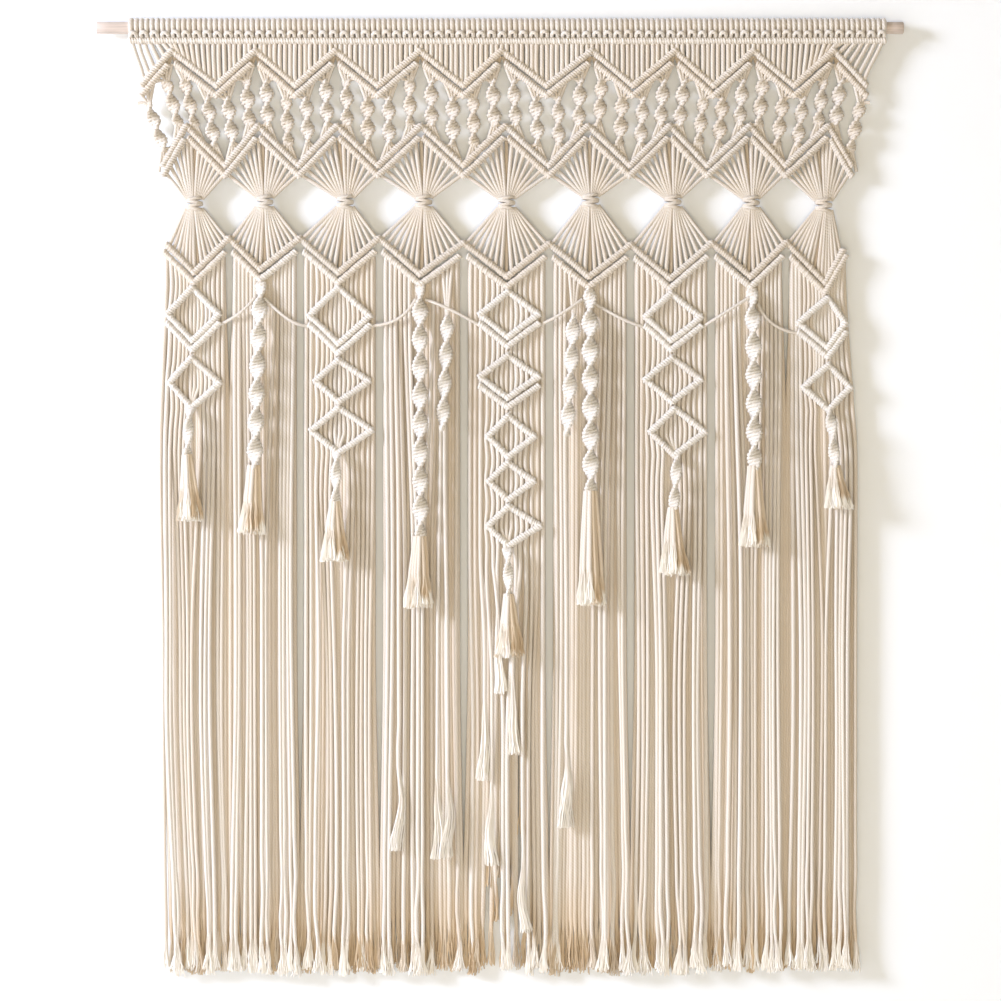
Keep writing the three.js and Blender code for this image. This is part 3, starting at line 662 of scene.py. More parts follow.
def cotton_colour(tree, cord, depth, place, ply, fray):
    """Cream plies with painted shade in their grooves, a little different from cord to cord, with painted
    shade on some cords and painted light on others, darker as a whole in the copies of painted shade, paler
    or browner towards the frayed ends.
    """
    # Depth scales every colour down, which makes the darker copies of the cord used higher up, as painted
    # shade
    groove, crown, shade, tip = (
        rgba(depth * part for part in colour)
        for colour in (cord.painted_groove_shade, cord.crown_colour, cord.shade_colour, cord.tip_colour)
    )
    tone = attribute(tree, "tone")
    cloud = maths(tree, "MULTIPLY", noise(tree, place, CLOUD_SCALE, CLOUD_DETAIL), CLOUD_WARMTH)
    warm = maths(tree, "ADD", cloud, maths(tree, "MULTIPLY", tone, TONE_WARMTH))
    # Painted shade in the grooves between the plies; the crowns keep the cord's own colour
    body = colour_mix(tree, maths(tree, "POWER", ply, PLY_ROUNDNESS), groove, crown)
    # Random warmth from cord to cord, and painted shade on cords given a higher tone
    body = colour_mix(tree, warm, body, shade)
    body = colour_mix(tree, ranged(tree, tone, 0.0, PALE_TONE, 0.0, PALE_MOST), body, tip)
    # Cords with a tone over one carry painted shade
    dusky = ranged(tree, tone, DUSKY_FROM, DUSKY_TO)
    open_end = ranged(tree, fray, FRAY_START, OPEN_END)
    # Most cords grow paler down towards the hem
    paler_low = over_hem(tree, place, PALER_FROM, PALER_TO, PALER_MOST)
    paler = maths(tree, "MAXIMUM", open_end, paler_low)
    clean = maths(tree, "MULTIPLY", paler, maths(tree, "SUBTRACT", 1.0, dusky))
    body = colour_mix(tree, clean, body, tip)
    # Painted shade: cords with a high tone turn brown at their frayed ends and low down near the hem
    low = over_hem(tree, place, PAINTED_SHADE_FROM, PAINTED_SHADE_TO)
    painted_shade = maths(tree, "MULTIPLY", maths(tree, "MAXIMUM", open_end, low), dusky)
    return colour_mix(tree, maths(tree, "MULTIPLY", painted_shade, PAINTED_SHADE_MOST), body, shade)


def cotton(cord, name="cotton_cord", depth=1.0):
    """Undyed cotton cord: plies that wind round it, with loose fibres, no two cords quite alike."""
    found = bpy.data.materials.get(name)
    if found:
        return found
    material, tree, shader = new_material(name)
    set_values(shader, COTTON_SHINE)
    place = add_node(tree, "ShaderNodeTexCoord").outputs["Object"]
    ply = ply_pattern(tree, cord.lay)
    fray = attribute(tree, "fray")
    fibre = noise(tree, place, FIBRE_SCALE, FIBRE_DETAIL)
    tree.links.new(cotton_colour(tree, cord, depth, place, ply, fray), shader.inputs["Base Color"])
    rough = ranged(tree, fibre, 0.0, 1.0, *COTTON_ROUGHNESS)
    tree.links.new(rough, shader.inputs["Roughness"])
    relief = maths(tree, "ADD", ply, maths(tree, "MULTIPLY", fibre, FIBRE_RELIEF))
    firm = maths(tree, "SUBTRACT", PLY_STRENGTH, maths(tree, "MULTIPLY", fray, FRAY_SOFTENING))
    firm = maths(tree, "MAXIMUM", firm, 0.0)
    inputs = {"Height": relief, "Strength": firm, "Distance": PLY_RELIEF}
    tree.links.new(add_node(tree, "ShaderNodeBump", inputs).outputs[0], shader.inputs["Normal"])
    return material


GRAIN_STRETCH = (3.0, 120.0, 120.0)
GRAIN_NOISE = {"Scale": 2.2, "Detail": 6.0, "Roughness": 0.62, "Distortion": 0.8}
GRAIN_FROM, GRAIN_TO = 0.42, 0.66
GRAIN_DARKNESS = 0.72
GRAIN_STRENGTH = 0.25
GRAIN_RELIEF = 0.3 * MM
WOOD_ROUGHNESS = (0.5, 0.75)


def pale_wood(cord):
    """Sanded pale wood with fine grain along the rod."""
    material, tree, shader = new_material("pale_wood")
    place = add_node(tree, "ShaderNodeTexCoord").outputs["Object"]
    inputs = {"Vector": place, "Scale": GRAIN_STRETCH}
    long_way = add_node(tree, "ShaderNodeMapping", inputs).outputs[0]
    inputs = {"Vector": long_way, **GRAIN_NOISE}
    grain = add_node(tree, "ShaderNodeTexNoise", inputs).outputs["Fac"]
    line = ranged(tree, grain, GRAIN_FROM, GRAIN_TO)
    dark = tuple(GRAIN_DARKNESS * part for part in cord.wood_colour)
    colour = colour_mix(tree, line, rgba(cord.wood_colour), rgba(dark))
    tree.links.new(colour, shader.inputs["Base Color"])
    rough = ranged(tree, grain, 0.0, 1.0, *WOOD_ROUGHNESS)
    tree.links.new(rough, shader.inputs["Roughness"])
    inputs = {"Height": line, "Strength": GRAIN_STRENGTH, "Distance": GRAIN_RELIEF}
    tree.links.new(add_node(tree, "ShaderNodeBump", inputs).outputs[0], shader.inputs["Normal"])
    return material


# Lines of a piece


def lerp(first, last, part):
    """A number or place some part of the way from first to last."""
    return first + (last - first) * part


def eased(part):
    """Zero to one with a soft start and a soft end."""
    part = min(1.0, max(0.0, part))
    return part * part * (3 - 2 * part)


def at_each(points, value):
    """A value for each point, from a list of them or from one that holds for all."""
    return value if isinstance(value, list) else [value] * len(points)


class Lines:
    """Centre lines of one piece, in millimetres, with the work that is done along each."""

    def __init__(self, seed, warmth=0.0):
        self.random = random.Random(seed)
        self.warmth = warmth
        self.points = []
        self.edges = []
        self.columns = {"work": [], "reach": [], "tone": [], "count": []}

    def add(self, work, points, reach, count=0, warmth=0.0):
        """Add a line. Reach is the half width of its work, and may differ by point, as warmth may."""
        first = len(self.points)
        tone = self.warmth + self.random.random()
        self.points += [Vector(point) * MM for point in points]
        self.edges += [(i, i + 1) for i in range(first, first + len(points) - 1)]
        self.columns["work"] += [work] * len(points)
        self.columns["reach"] += [part * MM for part in at_each(points, reach)]
        self.columns["tone"] += [tone + part for part in at_each(points, warmth)]
        self.columns["count"] += [count] * len(points)

    def mesh(self, name):
        """The lines as loose edges with their attributes."""
        mesh = bpy.data.meshes.new(name)
        mesh.from_pydata(self.points, self.edges, [])
        for column, values in self.columns.items():
            kind = "INT" if column in ("work", "count") else "FLOAT"
            mesh.attributes.new(column, kind, "POINT").data.foreach_set("value", values)
        return mesh


# Painted light: a tone that makes the long spirals and the diamonds' bars paler than the other cords
PAINTED_LIGHT_TONE = -1.0
STRAND_WAVE = 1.3 * MM
STRAND_SLIP = 6 * MM


def work_up(name, lines, scene, nodes, changes=None):
    """Work a piece's lines into a plain mesh that stands for its solids."""
    cord, knots, fringe = scene.curtain_cord, scene.curtain_knots, scene.curtain_fringe
    values = {
        "Cord sides": cord.sides,
        "Knot sides": cord.knot_sides,
        "Knot radius": cord.knot_radius,
        "Hitch radius": cord.hitch_radius,
        "Hitch pitch": knots.hitch_pitch,
        "Bar half height": knots.bar_half,
        "Bar depth": knots.bar_depth,
        "Hitch slant": knots.hitch_slant,
        "Half-knot pitch": knots.knot_pitch,
        "Half turn": knots.half_turn,
        "Flatness": knots.flatness,
        "Strand radius": cord.strand_radius,
        "Strand wave": STRAND_WAVE,
        "Strand slip": STRAND_SLIP,
        "Seed": fringe.seed,
        "Material": cotton(cord),
        **(changes or {}),
    }
    piece = bpy.data.objects.new(name, lines.mesh(name + "_lines"))
    scene.collection.objects.link(piece)
    modifier = piece.modifiers.new("Macrame work", "NODES")
    modifier.node_group = macrame_tree()
    for item in modifier.node_group.interface.items_tree:
        if item.in_out == "INPUT" and item.name in values:
            modifier[item.identifier] = values[item.name]
    evaluated = piece.evaluated_get(bpy.context.evaluated_depsgraph_get())
    finished = bpy.data.meshes.new_from_object(evaluated)
    piece.modifiers.clear()
    piece.data = finished
    finished.name = name
    return dressed(piece, nodes)


def dressed(piece, nodes):
    """Fix a finished piece to the frame in place of its solids."""
    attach(piece, "root")
    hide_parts(*nodes)
    return piece


# Shared paths

Node = namedtuple("Node", "x z")


def zigzag(seam_node, turn_node):
    """A zigzag with a node on each seam and one turn in each repeat."""
    path = []
    for i, seam in enumerate(SEAMS):
        path.append(seam_node(seam))
        if i < len(REPEATS):
            path.append(turn_node(REPEATS[i]))
    return path


ZIGZAG_1 = zigzag(lambda seam: Node(seam.foot1, FOOT_1_Z), lambda repeat: Node(repeat.crown1, CROWN_1_Z))
ZIGZAG_2 = zigzag(lambda seam: Node(seam.foot2, FOOT_2_Z), lambda repeat: Node(repeat.crown2, CROWN_2_Z))
ZIGZAG_3 = zigzag(
    lambda seam: Node(seam.cross_x, seam.cross_z), lambda repeat: Node(repeat.tip_x, repeat.tip_z),
)


def height_at(path, x):
    """Height of a zigzag at one place along the rod."""
    leg = 0
    while leg < len(path) - 2 and path[leg + 1].x <= x:
        leg += 1
    start, end = path[leg], path[leg + 1]
    return lerp(start.z, end.z, (x - start.x) / (end.x - start.x))


BAR_STEPS = 6
BAR_OVERHANG = 1.5
BAR_SAG = 0.9


def bar(lines, start, end, y, reach, core, warmth=0.0):
    """One row of hitches from node to node with the cord that it is tied on. Rising rows pass in front."""
    left, right = sorted((start, end), key=lambda node: node.x)
    lift = CROSSING_LIFT if right.z > left.z else 0.0
    first, last = Vector((left.x, y - lift, left.z)), Vector((right.x, y - lift, right.z))
    along = (last - first).normalized()
    sag = lines.random.uniform(-BAR_SAG, BAR_SAG)
    path = []
    for k in range(BAR_STEPS + 1):
        part = k / BAR_STEPS
        path.append(lerp(first, last, part) + Vector((0, 0, sag * math.sin(math.pi * part))))
    lines.add(HITCHES, path, reach, 0, warmth)
    lines.add(CORD, [first - along * BAR_OVERHANG] + path + [last + along * BAR_OVERHANG], core)


def raised(node, rise):
    """A node moved up, or down where the rise is below zero."""
    return Node(node.x, node.z + rise)


def towards(node, other, distance):
    """A node moved some way along x towards another."""
    part = distance / abs(other.x - node.x)
    return Node(lerp(node.x, other.x, part), lerp(node.z, other.z, part))


def zigzag_row(lines, path, rise, reach, core, slit=0.0):
    """Hitches along every leg of a zigzag. A slit keeps the legs apart at the crowns."""
    for i, (start, end) in enumerate(zip(path, path[1:])):
        crown_first = i % 2 == 1
        if slit and crown_first:
            start = towards(start, end, slit)
        elif slit:
            end = towards(end, start, slit)
        bar(lines, raised(start, rise), raised(end, rise), BAR_Y, reach, core)


# Rod

ROD_STEPS = 60
ROD_SIDES = 40
ROD_EDGE = 0.8
ROD_UNEVEN = 0.12


def make_rod(scene):
    """A sanded rod with eased ends, a little uneven along its length."""
    mesh = bpy.data.meshes.new("wooden_rod")
    bm = bmesh.new()
    draw = random.Random(scene.curtain_fringe.seed)
    stations = [(ROD_LOW.x, ROD_RADIUS - ROD_EDGE), (ROD_LOW.x + ROD_EDGE, ROD_RADIUS)]
    for step in range(1, ROD_STEPS):
        x = lerp(ROD_LOW.x, ROD_HIGH.x, step / ROD_STEPS)
        stations.append((x, ROD_RADIUS - draw.uniform(0.0, ROD_UNEVEN)))
    stations += [(ROD_HIGH.x - ROD_EDGE, ROD_RADIUS), (ROD_HIGH.x, ROD_RADIUS - ROD_EDGE)]
    rings = []
    turns = [2 * math.pi * k / ROD_SIDES for k in range(ROD_SIDES)]
    for x, radius in stations:
        rings.append([
            bm.verts.new(MM * Vector((x, radius * math.cos(turn), radius * math.sin(turn))))
            for turn in turns
        ])
    for ring, after in zip(rings, rings[1:]):
        for k in range(ROD_SIDES):
            following = (k + 1) % ROD_SIDES
            bm.faces.new((ring[k], ring[following], after[following], after[k])).smooth = True
    bm.faces.new(rings[0])
    bm.faces.new(rings[-1])
    bmesh.ops.recalc_face_normals(bm, faces=bm.faces)
    bm.to_mesh(mesh)
    bm.free()
    mesh.materials.append(pale_wood(scene.curtain_cord))
    piece = bpy.data.objects.new("wooden_rod", mesh)
    scene.collection.objects.link(piece)
    return dressed(piece, ["rod"])


# Heading

LOOP_HALF = 3.3
LOOP_RADIUS = 3.15
LOOP_SINK = 1.5
LOOP_STRAY = 0.25
LOOP_RISE = 0.8
LOOP_TURNS = (-28, 0, 25, 50, 75, 100, 125, 150, 175, 200, 225, 250)
# Thickness of half a loop at its points, from the bar to the bight
LOOP_THICKNESS = [0.84, 0.84, 0.86, 1.0] + [1.16] * 9 + [0.9] + [0.84] * 3
HEADING_WARMTH = 0.1
HEADING_BAR_IN = 2
HEADING_BAR_Y = -2.0
HEADING_BAR_HALF = 5.2

LoopRoot = namedtuple("LoopRoot", "y rise")
LOOP_ROOTS = [LoopRoot(-2.0, 1.0), LoopRoot(-5.5, 6.5)]

# Half of the bight, the part of a loop that crosses its front
Bight = namedtuple("Bight", "across y z lift")
BIGHT = [
    Bight(LOOP_HALF + 0.3, -7.0, -11.0, 0),
    Bight(LOOP_HALF + 0.2, -11.0, -9.0, 1),
    Bight(0.55 * LOOP_HALF, -13.0, -7.2, 1),
]


def half_loop(middle, side, rise):
    """Half of a loop on the rod: from the bar up its front, over its top, round below it, to the bight."""
    x = middle + side * LOOP_HALF
    reach = ROD_RADIUS + LOOP_RADIUS - LOOP_SINK
    path = [Vector((x, root.y, BAR_Z + root.rise)) for root in LOOP_ROOTS]
    for degrees in LOOP_TURNS:
        turn = math.radians(degrees)
        path.append(Vector((x, -reach * math.cos(turn), reach * math.sin(turn))))
    for point in BIGHT:
        path.append(Vector((middle + side * point.across, point.y, point.z + rise * point.lift)))
    return path


def make_heading(scene):
    """Loops knotted round the rod over a level bar of hitches."""
    lines = Lines(scene.curtain_fringe.seed, HEADING_WARMTH)
    pitch = (HEADING_END - HEADING_LOW.x) / LOOPS
    thickness = [LOOP_RADIUS * part for part in LOOP_THICKNESS + LOOP_THICKNESS[::-1]]
    for i in range(LOOPS):
        middle = HEADING_LOW.x + (i + 0.5) * pitch + lines.random.uniform(-LOOP_STRAY, LOOP_STRAY)
        rise = lines.random.uniform(-LOOP_RISE, LOOP_RISE)
        left, right = half_loop(middle, -1, rise), half_loop(middle, 1, rise)
        lines.add(CORD, left + right[::-1], thickness)
    start = Node(HEADING_LOW.x + HEADING_BAR_IN, BAR_Z)
    end = Node(HEADING_END - HEADING_BAR_IN, BAR_Z)
    bar(lines, start, end, HEADING_BAR_Y, HEADING_BAR_HALF, LOOP_RADIUS)
    changes = {"Hitch pitch": scene.curtain_knots.heading_pitch, "Cord sides": CLOSE_SIDES}
    return work_up("knotted_heading", lines, scene, ["heading"], changes)


# Net

FULL_RADIUS = 2.55
HEAD_RADIUS = 2.85
UPPER_WARMTH = 0.6
SPIRAL_WARMTH = 0.5
LOWER_WARMTH = 0.6
NARROW_SLIT = 3.0

# Cords under the heading bar, whose outer ones lean in to the narrower zigzag
LEAN_OVER = 140
HEAD_TOP = 2
HEAD_STRAY = 0.6
HEAD_BULGE = 0.5
# Shares of the way across and of the way down
HEAD_BENDS = ((0.35, 0.4), (0.75, 0.75))

# Short spirals
SPIRAL_HALF = 9.6
SPIRAL_THINNER, SPIRAL_THICKER = -0.5, 0.7
SPIRAL_ENDS = 0.7
SPIRAL_CORE = 0.28
SPIRAL_STEPS = 6
SPIRAL_HALF_TURN = 26 * MM
SPIRAL_OUT = ROW_HEIGHT - 1
SPIRAL_LEAD = 8.0
SPIRAL_SPREAD = 9.5
SPIRAL_CORDS = (-1.0, -0.33, 0.33, 1.0)
SPIRAL_NEAR = Vector((1.6, 0.8, 0))
SPIRAL_BEND = 0.6
SPIRAL_TUCK = 0.4
# Where on a leg of the zigzag the spirals hang, and where at the curtain's edges
INNER_PART = 0.25
OUTER_PART = 0.12

# Cords behind the slits of the first zigzag
SLIT_OFFSETS = (1.5, 4.0, 6.5)
SLIT_Y = 3.5
SLIT_FOOT_Y = 2.0
SLIT_FALL = 6
SLIT_SAG = Vector((0, 0, -3))
# Painted shade: the cords behind the slits and behind the fans' partings are given a brown tone
PAINTED_SHADE_BEHIND = 1.6

# Fans and gathering knots
FAN_CORDS = 14
FAN_NECK = 20.0
FAN_NECK_Z = 6.0
FAN_INSET = 3.0
FAN_CENTRE_GAP = 0.03
FAN_STRAY = 1.0
FAN_FRONT = -2.0
FAN_BEND, FAN_CLOSE = 0.55, 0.85
FAN_BOW = Vector((0, -0.6, 0))
FAN_BACK, FAN_BACK_NECK = 3.5, 2.0
KNOT_WRAPS = (-6.0, -2.0, 2.0, 6.0)
KNOT_STEPS = 14
KNOT_HALF = 9.0
KNOT_TAPER = 0.5
KNOT_DEPTH = 0.72
KNOT_FRONT = -0.5
KNOT_TILT = 1.4
KNOT_TURN = 0.6


def place_on_heading(x):
    """Where a cord leaves the heading bar: straight above its foot, or further out near the bar's ends."""
    left = max(0.0, 1 - (x - ZIGZAG_1[0].x) / LEAN_OVER)
    right = max(0.0, 1 - (ZIGZAG_1[-1].x - x) / LEAN_OVER)
    return x + (HEADING_LOW.x - ZIGZAG_1[0].x) * left ** 2 + (HEADING_END - ZIGZAG_1[-1].x) * right ** 2


def head_cords(lines, radius):
    """Cords from the heading bar down to the first zigzag."""
    total = 2 * CORDS_PER_LEG * len(REPEATS)
    for k in range(total):
        foot_x = lerp(ZIGZAG_1[0].x, ZIGZAG_1[-1].x, (k + 0.5) / total)
        foot_z = height_at(ZIGZAG_1, foot_x) + ROOT_OUT
        top_x = place_on_heading(foot_x)
        y = BAR_Y + lines.random.uniform(-HEAD_STRAY, HEAD_STRAY)
        bulge = lines.random.uniform(-HEAD_STRAY, HEAD_STRAY)
        path = [Vector((top_x, y, BAR_Z - HEAD_TOP))]
        for across, down in HEAD_BENDS:
            x = lerp(top_x, foot_x, across) + bulge
            path.append(Vector((x, y - HEAD_BULGE, lerp(BAR_Z, foot_z, down))))
        lines.add(CORD, path + [Vector((foot_x, y, foot_z))], radius)


def short_spiral(lines, leg, part, radius):
    """One half-knot spiral between the zigzags, with the cords that come into it and leave it."""
    top_x = lerp(ZIGZAG_1[leg].x, ZIGZAG_1[leg + 1].x, part)
    foot_x = lerp(ZIGZAG_2[leg].x, ZIGZAG_2[leg + 1].x, part)
    top = Vector((top_x, 0.0, height_at(ZIGZAG_1, top_x) - SPIRAL_OUT))
    foot = Vector((foot_x, 0.0, height_at(ZIGZAG_2, foot_x) + SPIRAL_OUT))
    lead = (foot - top).normalized() * SPIRAL_LEAD
    first, last = top + lead, foot - lead
    reach = SPIRAL_HALF + lines.random.uniform(SPIRAL_THINNER, SPIRAL_THICKER)
    tip = SPIRAL_ENDS * reach
    steps = [lerp(first, last, k / SPIRAL_STEPS) for k in range(SPIRAL_STEPS + 1)]
    lines.add(HALF_KNOTS, steps, [tip] + [reach] * (SPIRAL_STEPS - 1) + [tip])
    lines.add(CORD, steps, SPIRAL_CORE * reach)
    ends = ((ZIGZAG_1, top_x, -ROOT_OUT, first, lead), (ZIGZAG_2, foot_x, ROOT_OUT, last, -lead))
    for offset in SPIRAL_CORDS:
        near = SPIRAL_NEAR * offset
        for zigzag_path, x, out, end, inwards in ends:
            root_x = x + SPIRAL_SPREAD * offset
            root = Vector((root_x, 0, height_at(zigzag_path, root_x) + out))
            bend = lerp(root, end, SPIRAL_BEND) + near
            lines.add(CORD, [root, bend, end + near + inwards * SPIRAL_TUCK], radius)


def short_spirals(lines, radius):
    """Two spirals on each leg of the zigzags, the outermost ones nearer to the edge."""
    last_leg = len(ZIGZAG_1) - 2
    for leg in range(last_leg + 1):
        short_spiral(lines, leg, OUTER_PART if leg == 0 else INNER_PART, radius)
        short_spiral(lines, leg, 1 - (OUTER_PART if leg == last_leg else INNER_PART), radius)


def slit_cords(lines, radius):
    """Cords at the back from the slit under each upper turn of the first zigzag to the spirals beside it."""
    for before, turn, after in zip(ZIGZAG_1, ZIGZAG_1[1:], ZIGZAG_1[2:]):
        if turn.z < max(before.z, after.z):
            continue
        for beside in (before, after):
            x = lerp(turn.x, beside.x, INNER_PART)
            foot = Vector((x, SLIT_FOOT_Y, height_at(ZIGZAG_1, x) - ROW_HEIGHT - SLIT_FALL))
            for offset in SLIT_OFFSETS:
                root = Vector((turn.x + math.copysign(offset, beside.x - turn.x), SLIT_Y, turn.z))
                sag = lerp(root, foot, 0.5) + SLIT_SAG
                # These cords carry painted shade
                lines.add(CORD, [root, sag, foot], radius, 0, PAINTED_SHADE_BEHIND)


def fan(lines, edge, left, right, neck, radius, side):
    """Cords drawn from one repeat of a zigzag into a knot, with one at the back behind their parting."""
    neck_z = neck.z - side * FAN_NECK_Z
    for k in range(FAN_CORDS):
        part = (k + 0.5) / FAN_CORDS
        part += FAN_CENTRE_GAP if part > 0.5 else -FAN_CENTRE_GAP
        part = min(1.0, max(0.0, part))
        x = lerp(left + FAN_INSET, right - FAN_INSET, part)
        y = lines.random.uniform(-FAN_STRAY, FAN_STRAY)
        outer = Vector((x, y, height_at(edge, x) + side * ROOT_OUT))
        front = FAN_FRONT * math.sin(math.pi * part)
        inner = Vector((neck.x + (part - 0.5) * FAN_NECK, front, neck_z))
        middle = lerp(outer, inner, FAN_BEND) + FAN_BOW
        lines.add(CORD, [outer, middle, lerp(outer, inner, FAN_CLOSE), inner], radius)
    x = (left + right) / 2
    outer = Vector((x, FAN_BACK, height_at(edge, x) + side * ROOT_OUT))
    inner = Vector((neck.x, FAN_BACK_NECK, neck_z))
    # The cord at the back carries painted shade
    lines.add(CORD, [outer, lerp(outer, inner, 0.5), inner], radius, 0, PAINTED_SHADE_BEHIND)


def gathering_knot(lines, repeat, radius):
    """Wraps drawn tight round the neck of two fans, the first and the last a little tighter."""
    for k, rise in enumerate(KNOT_WRAPS):
        tilt = KNOT_TILT if k % 2 else -KNOT_TILT
        reach = KNOT_HALF - (KNOT_TAPER if abs(rise) == max(KNOT_WRAPS) else 0.0)
        wrap = []
        for step in range(KNOT_STEPS + 1):
            turn = 2 * math.pi * step / KNOT_STEPS + KNOT_TURN * k
            wrap.append(Vector((
                repeat.knot_x + reach * math.cos(turn),
                KNOT_DEPTH * reach * math.sin(turn) + KNOT_FRONT,
                repeat.knot_z + rise + tilt * math.cos(turn),
            )))
        lines.add(CORD, wrap, radius)


def make_net(scene):
    """The two zigzags with the spirals between them, and the fans drawn in between the second and third."""
    cord = scene.curtain_cord
    radius = cord.radius / MM
    reach = scene.curtain_knots.bar_half / MM
    seed = scene.curtain_fringe.seed
    row = ROW_HEIGHT / 2
    # The heading's cords and the short spirals take a darker copy of the cord, as painted shade
    head = {"Cord sides": CLOSE_SIDES, "Material": cotton(cord, "head_cotton_cord_painted_shade", cord.head_painted_shade)}
    upper = Lines(seed + 1, UPPER_WARMTH)
    head_cords(upper, HEAD_RADIUS)
    zigzag_row(upper, ZIGZAG_1, row, reach, radius)
    zigzag_row(upper, ZIGZAG_1, -row, reach, radius, SLIT_HALF)
    work_up("upper_net", upper, scene, ["net"], head)
    spirals = Lines(seed + 2, SPIRAL_WARMTH)
    short_spirals(spirals, radius)
    slit_cords(spirals, radius)
    work_up("short_spirals", spirals, scene, ["net"], {**head, "Half turn": SPIRAL_HALF_TURN})
    lower = Lines(seed + 3, LOWER_WARMTH)
    zigzag_row(lower, ZIGZAG_2, row, reach, radius)
    zigzag_row(lower, ZIGZAG_2, -row, reach, radius, NARROW_SLIT)
    zigzag_row(lower, ZIGZAG_3, row, reach, radius)
    for repeat, before, after in zip(REPEATS, SEAMS, SEAMS[1:]):
        neck = Node(repeat.knot_x, repeat.knot_z)
        fan(lower, ZIGZAG_2, before.foot2, after.foot2, neck, FULL_RADIUS, -1)
        fan(lower, ZIGZAG_3, before.cross_x, after.cross_x, neck, FULL_RADIUS, 1)
        gathering_knot(lower, repeat, radius)
    # The fans and their zigzags take a darker copy of the cord, as painted shade
    lower_cord = cotton(cord, "net_cotton_cord_painted_shade", cord.net_painted_shade)
    work_up("lower_net", lower, scene, ["net"], {"Cord sides": CLOSE_SIDES, "Material": lower_cord})


# Drops

# Cords in the panel behind the diamonds
PANEL_Y = 0.6
PANEL_STEP = 11.0
PANEL_EASE = 45.0
PANEL_HALF = 34.0
PINCH = 0.78
GATHER_EASE = 20.0
GATHER_PAST = 2
GATHER_CLOSE = 0.8
GATHER_Y = -3.0

# Hanging cords, in bunches that lie in front or further back
HANG_STEP = 26.0
HANG_EASE = 260.0
THINNEST, THICKEST = 0.95, 1.2
SETTLE = 20
SETTLE_DROP = 140.0
BUNCH_SIZES = (1, 2, 2, 3, 3, 4)
BUNCHING = 0.32
BUNCH_PACE = 2.2
FORWARD = (-1.0, -0.6)
RECESSED = (-0.1, 0.45)
LAYER_STRAY = 0.15
# Painted shade: cords in the bunches that lie further back are given a warmer, browner tone
RECESS_PAINTED_SHADE = 0.6
CLOSE_FROM = 0.5
STRAY_SHARE = 0.15
STRAY = 2.2
FEWEST_WAVES, MOST_WAVES = 1.0, 2.2
CURL = 2.6
CURL_FROM = 0.72
CURL_LENGTH = 120.0

# Edges and hem
EDGE_OUT = 3.0
SEAM_PAST = 1.0
OUTER_LEFT, OUTER_RIGHT = -424.0, 444.0
HEM_LEFT, HEM_RIGHT = -412.0, 444.0
HEM_RISE, HEM_RISE_FROM, HEM_RISE_OVER = 4.0, 150.0, 200.0
HEM_LOWER, HEM_HIGHER = -2, 8

# Cords at the back
BACK_CORDS = 20
BACK_RADIUS = 2.9
BACK_Y = 4.5
BACK_PAST = 6.0
BACK_OUTER = 4.0
BACK_NEAR, BACK_FAR = 4.0, 7.0
BACK_LOOSE = 0.35
# Painted shade: the cords at the back are given a warmer, browner tone, with brown ends near the hem
BACK_PAINTED_SHADE = 1.15
BACK_HEM_PAST, BACK_HEM_IN = 1, 2
BACK_RISE, BACK_LOWER, BACK_HIGHER = 4, -4, 6
CLOSED_SEAMS = (1, 8)
THIN_DROP = 5
THIN_KEPT = 3
THIN_FOOT, THIN_LOWEST = -985.0, -1115.0

# Frayed ends. A cord thins out inside its own fray
BRUSH_STEPS, BRUSH_STEP = 5, 13.0
BRUSH_ROOT = 0.7
END_TAPER = 0.3
END_IN_FRAY = 0.45
FRAY_LEAST, FRAY_MOST = 0.7, 1.15
SHORT_FRONT = -1.4

Hanging = namedtuple("Hanging", "root panel_x middle_x settle foot centre levels")
Fray = namedtuple("Fray", "length reach strands bell curl")

# Shares of a hanging cord's fray and curl
FrayKind = namedtuple("FrayKind", "length reach bell curl")
FRONT_FRAY = FrayKind(1.0, 1.0, 2.2, 1.0)
BACK_FRAY = FrayKind(1.35, 1.0, 1.8, BACK_LOOSE)
SHORT_FRAY = FrayKind(2.2, 1.3, 1.2, 2.0)


def panel_levels(entries):
    """Heights and widths of the cords behind diamonds, drawn in where the bars cross."""
    if not entries:
        return []
    levels = [(entries[0].top + PANEL_EASE, 1.0)]
    for entry in entries:
        levels += [(entry.top, PINCH), ((entry.top + entry.bottom) / 2, 1.0), (entry.bottom, PINCH)]
    return levels + [(entries[-1].bottom - PANEL_EASE, 1.0)]


def width_at(levels, z):
    """Share of its width that a panel keeps at a height."""
    for (above, start), (below, end) in zip(levels, levels[1:]):
        if below <= z <= above:
            return lerp(start, end, eased((above - z) / (above - below)))
    return 1.0


def drawn_in(levels, centre, x, z):
    """Place of a panel's cord at a height. The outer cords stay where they are."""
    away = x - centre
    hold = min(1.0, abs(away) / PANEL_HALF) ** 2
    return centre + away * lerp(width_at(levels, z), 1.0, hold)


def heights(top, settle, foot):
    """Heights down a cord, close together where it lies in its panel."""
    fine = max(1, round((top - settle) / PANEL_STEP))
    coarse = max(1, round((settle - foot) / HANG_STEP))
    upper = [lerp(top, settle, k / fine) for k in range(fine)]
    return upper + [lerp(settle, foot, k / coarse) for k in range(coarse + 1)]


def brush(lines, path, radius, spread, strands, bell=1.0, warmth=0.0):
    """Frayed strands along the end of a cord, spread like a cone or, with a higher bell, near the tip."""
    last = len(path) - 1
    reach = [lerp(BRUSH_ROOT * radius, spread, (k / last) ** bell) for k in range(last + 1)]
    lines.add(BRUSH, path, reach, strands, warmth)


def frayed_end(fringe, kind, strands):
    """Sizes of one kind of frayed end."""
    length, reach = kind.length * fringe.fray / MM, kind.reach * fringe.fray_reach / MM
    return Fray(length, reach, strands, kind.bell, kind.curl * CURL)


def short_end(fringe):
    """The long full fray of a cord that ends above the hem."""
    return frayed_end(fringe, SHORT_FRAY, 2 * fringe.fray_strands)


def hem_level(x):
    """Height of the hem, which rises a little towards the right."""
    return HEM_Z + HEM_RISE * eased((x - HEM_RISE_FROM) / HEM_RISE_OVER)


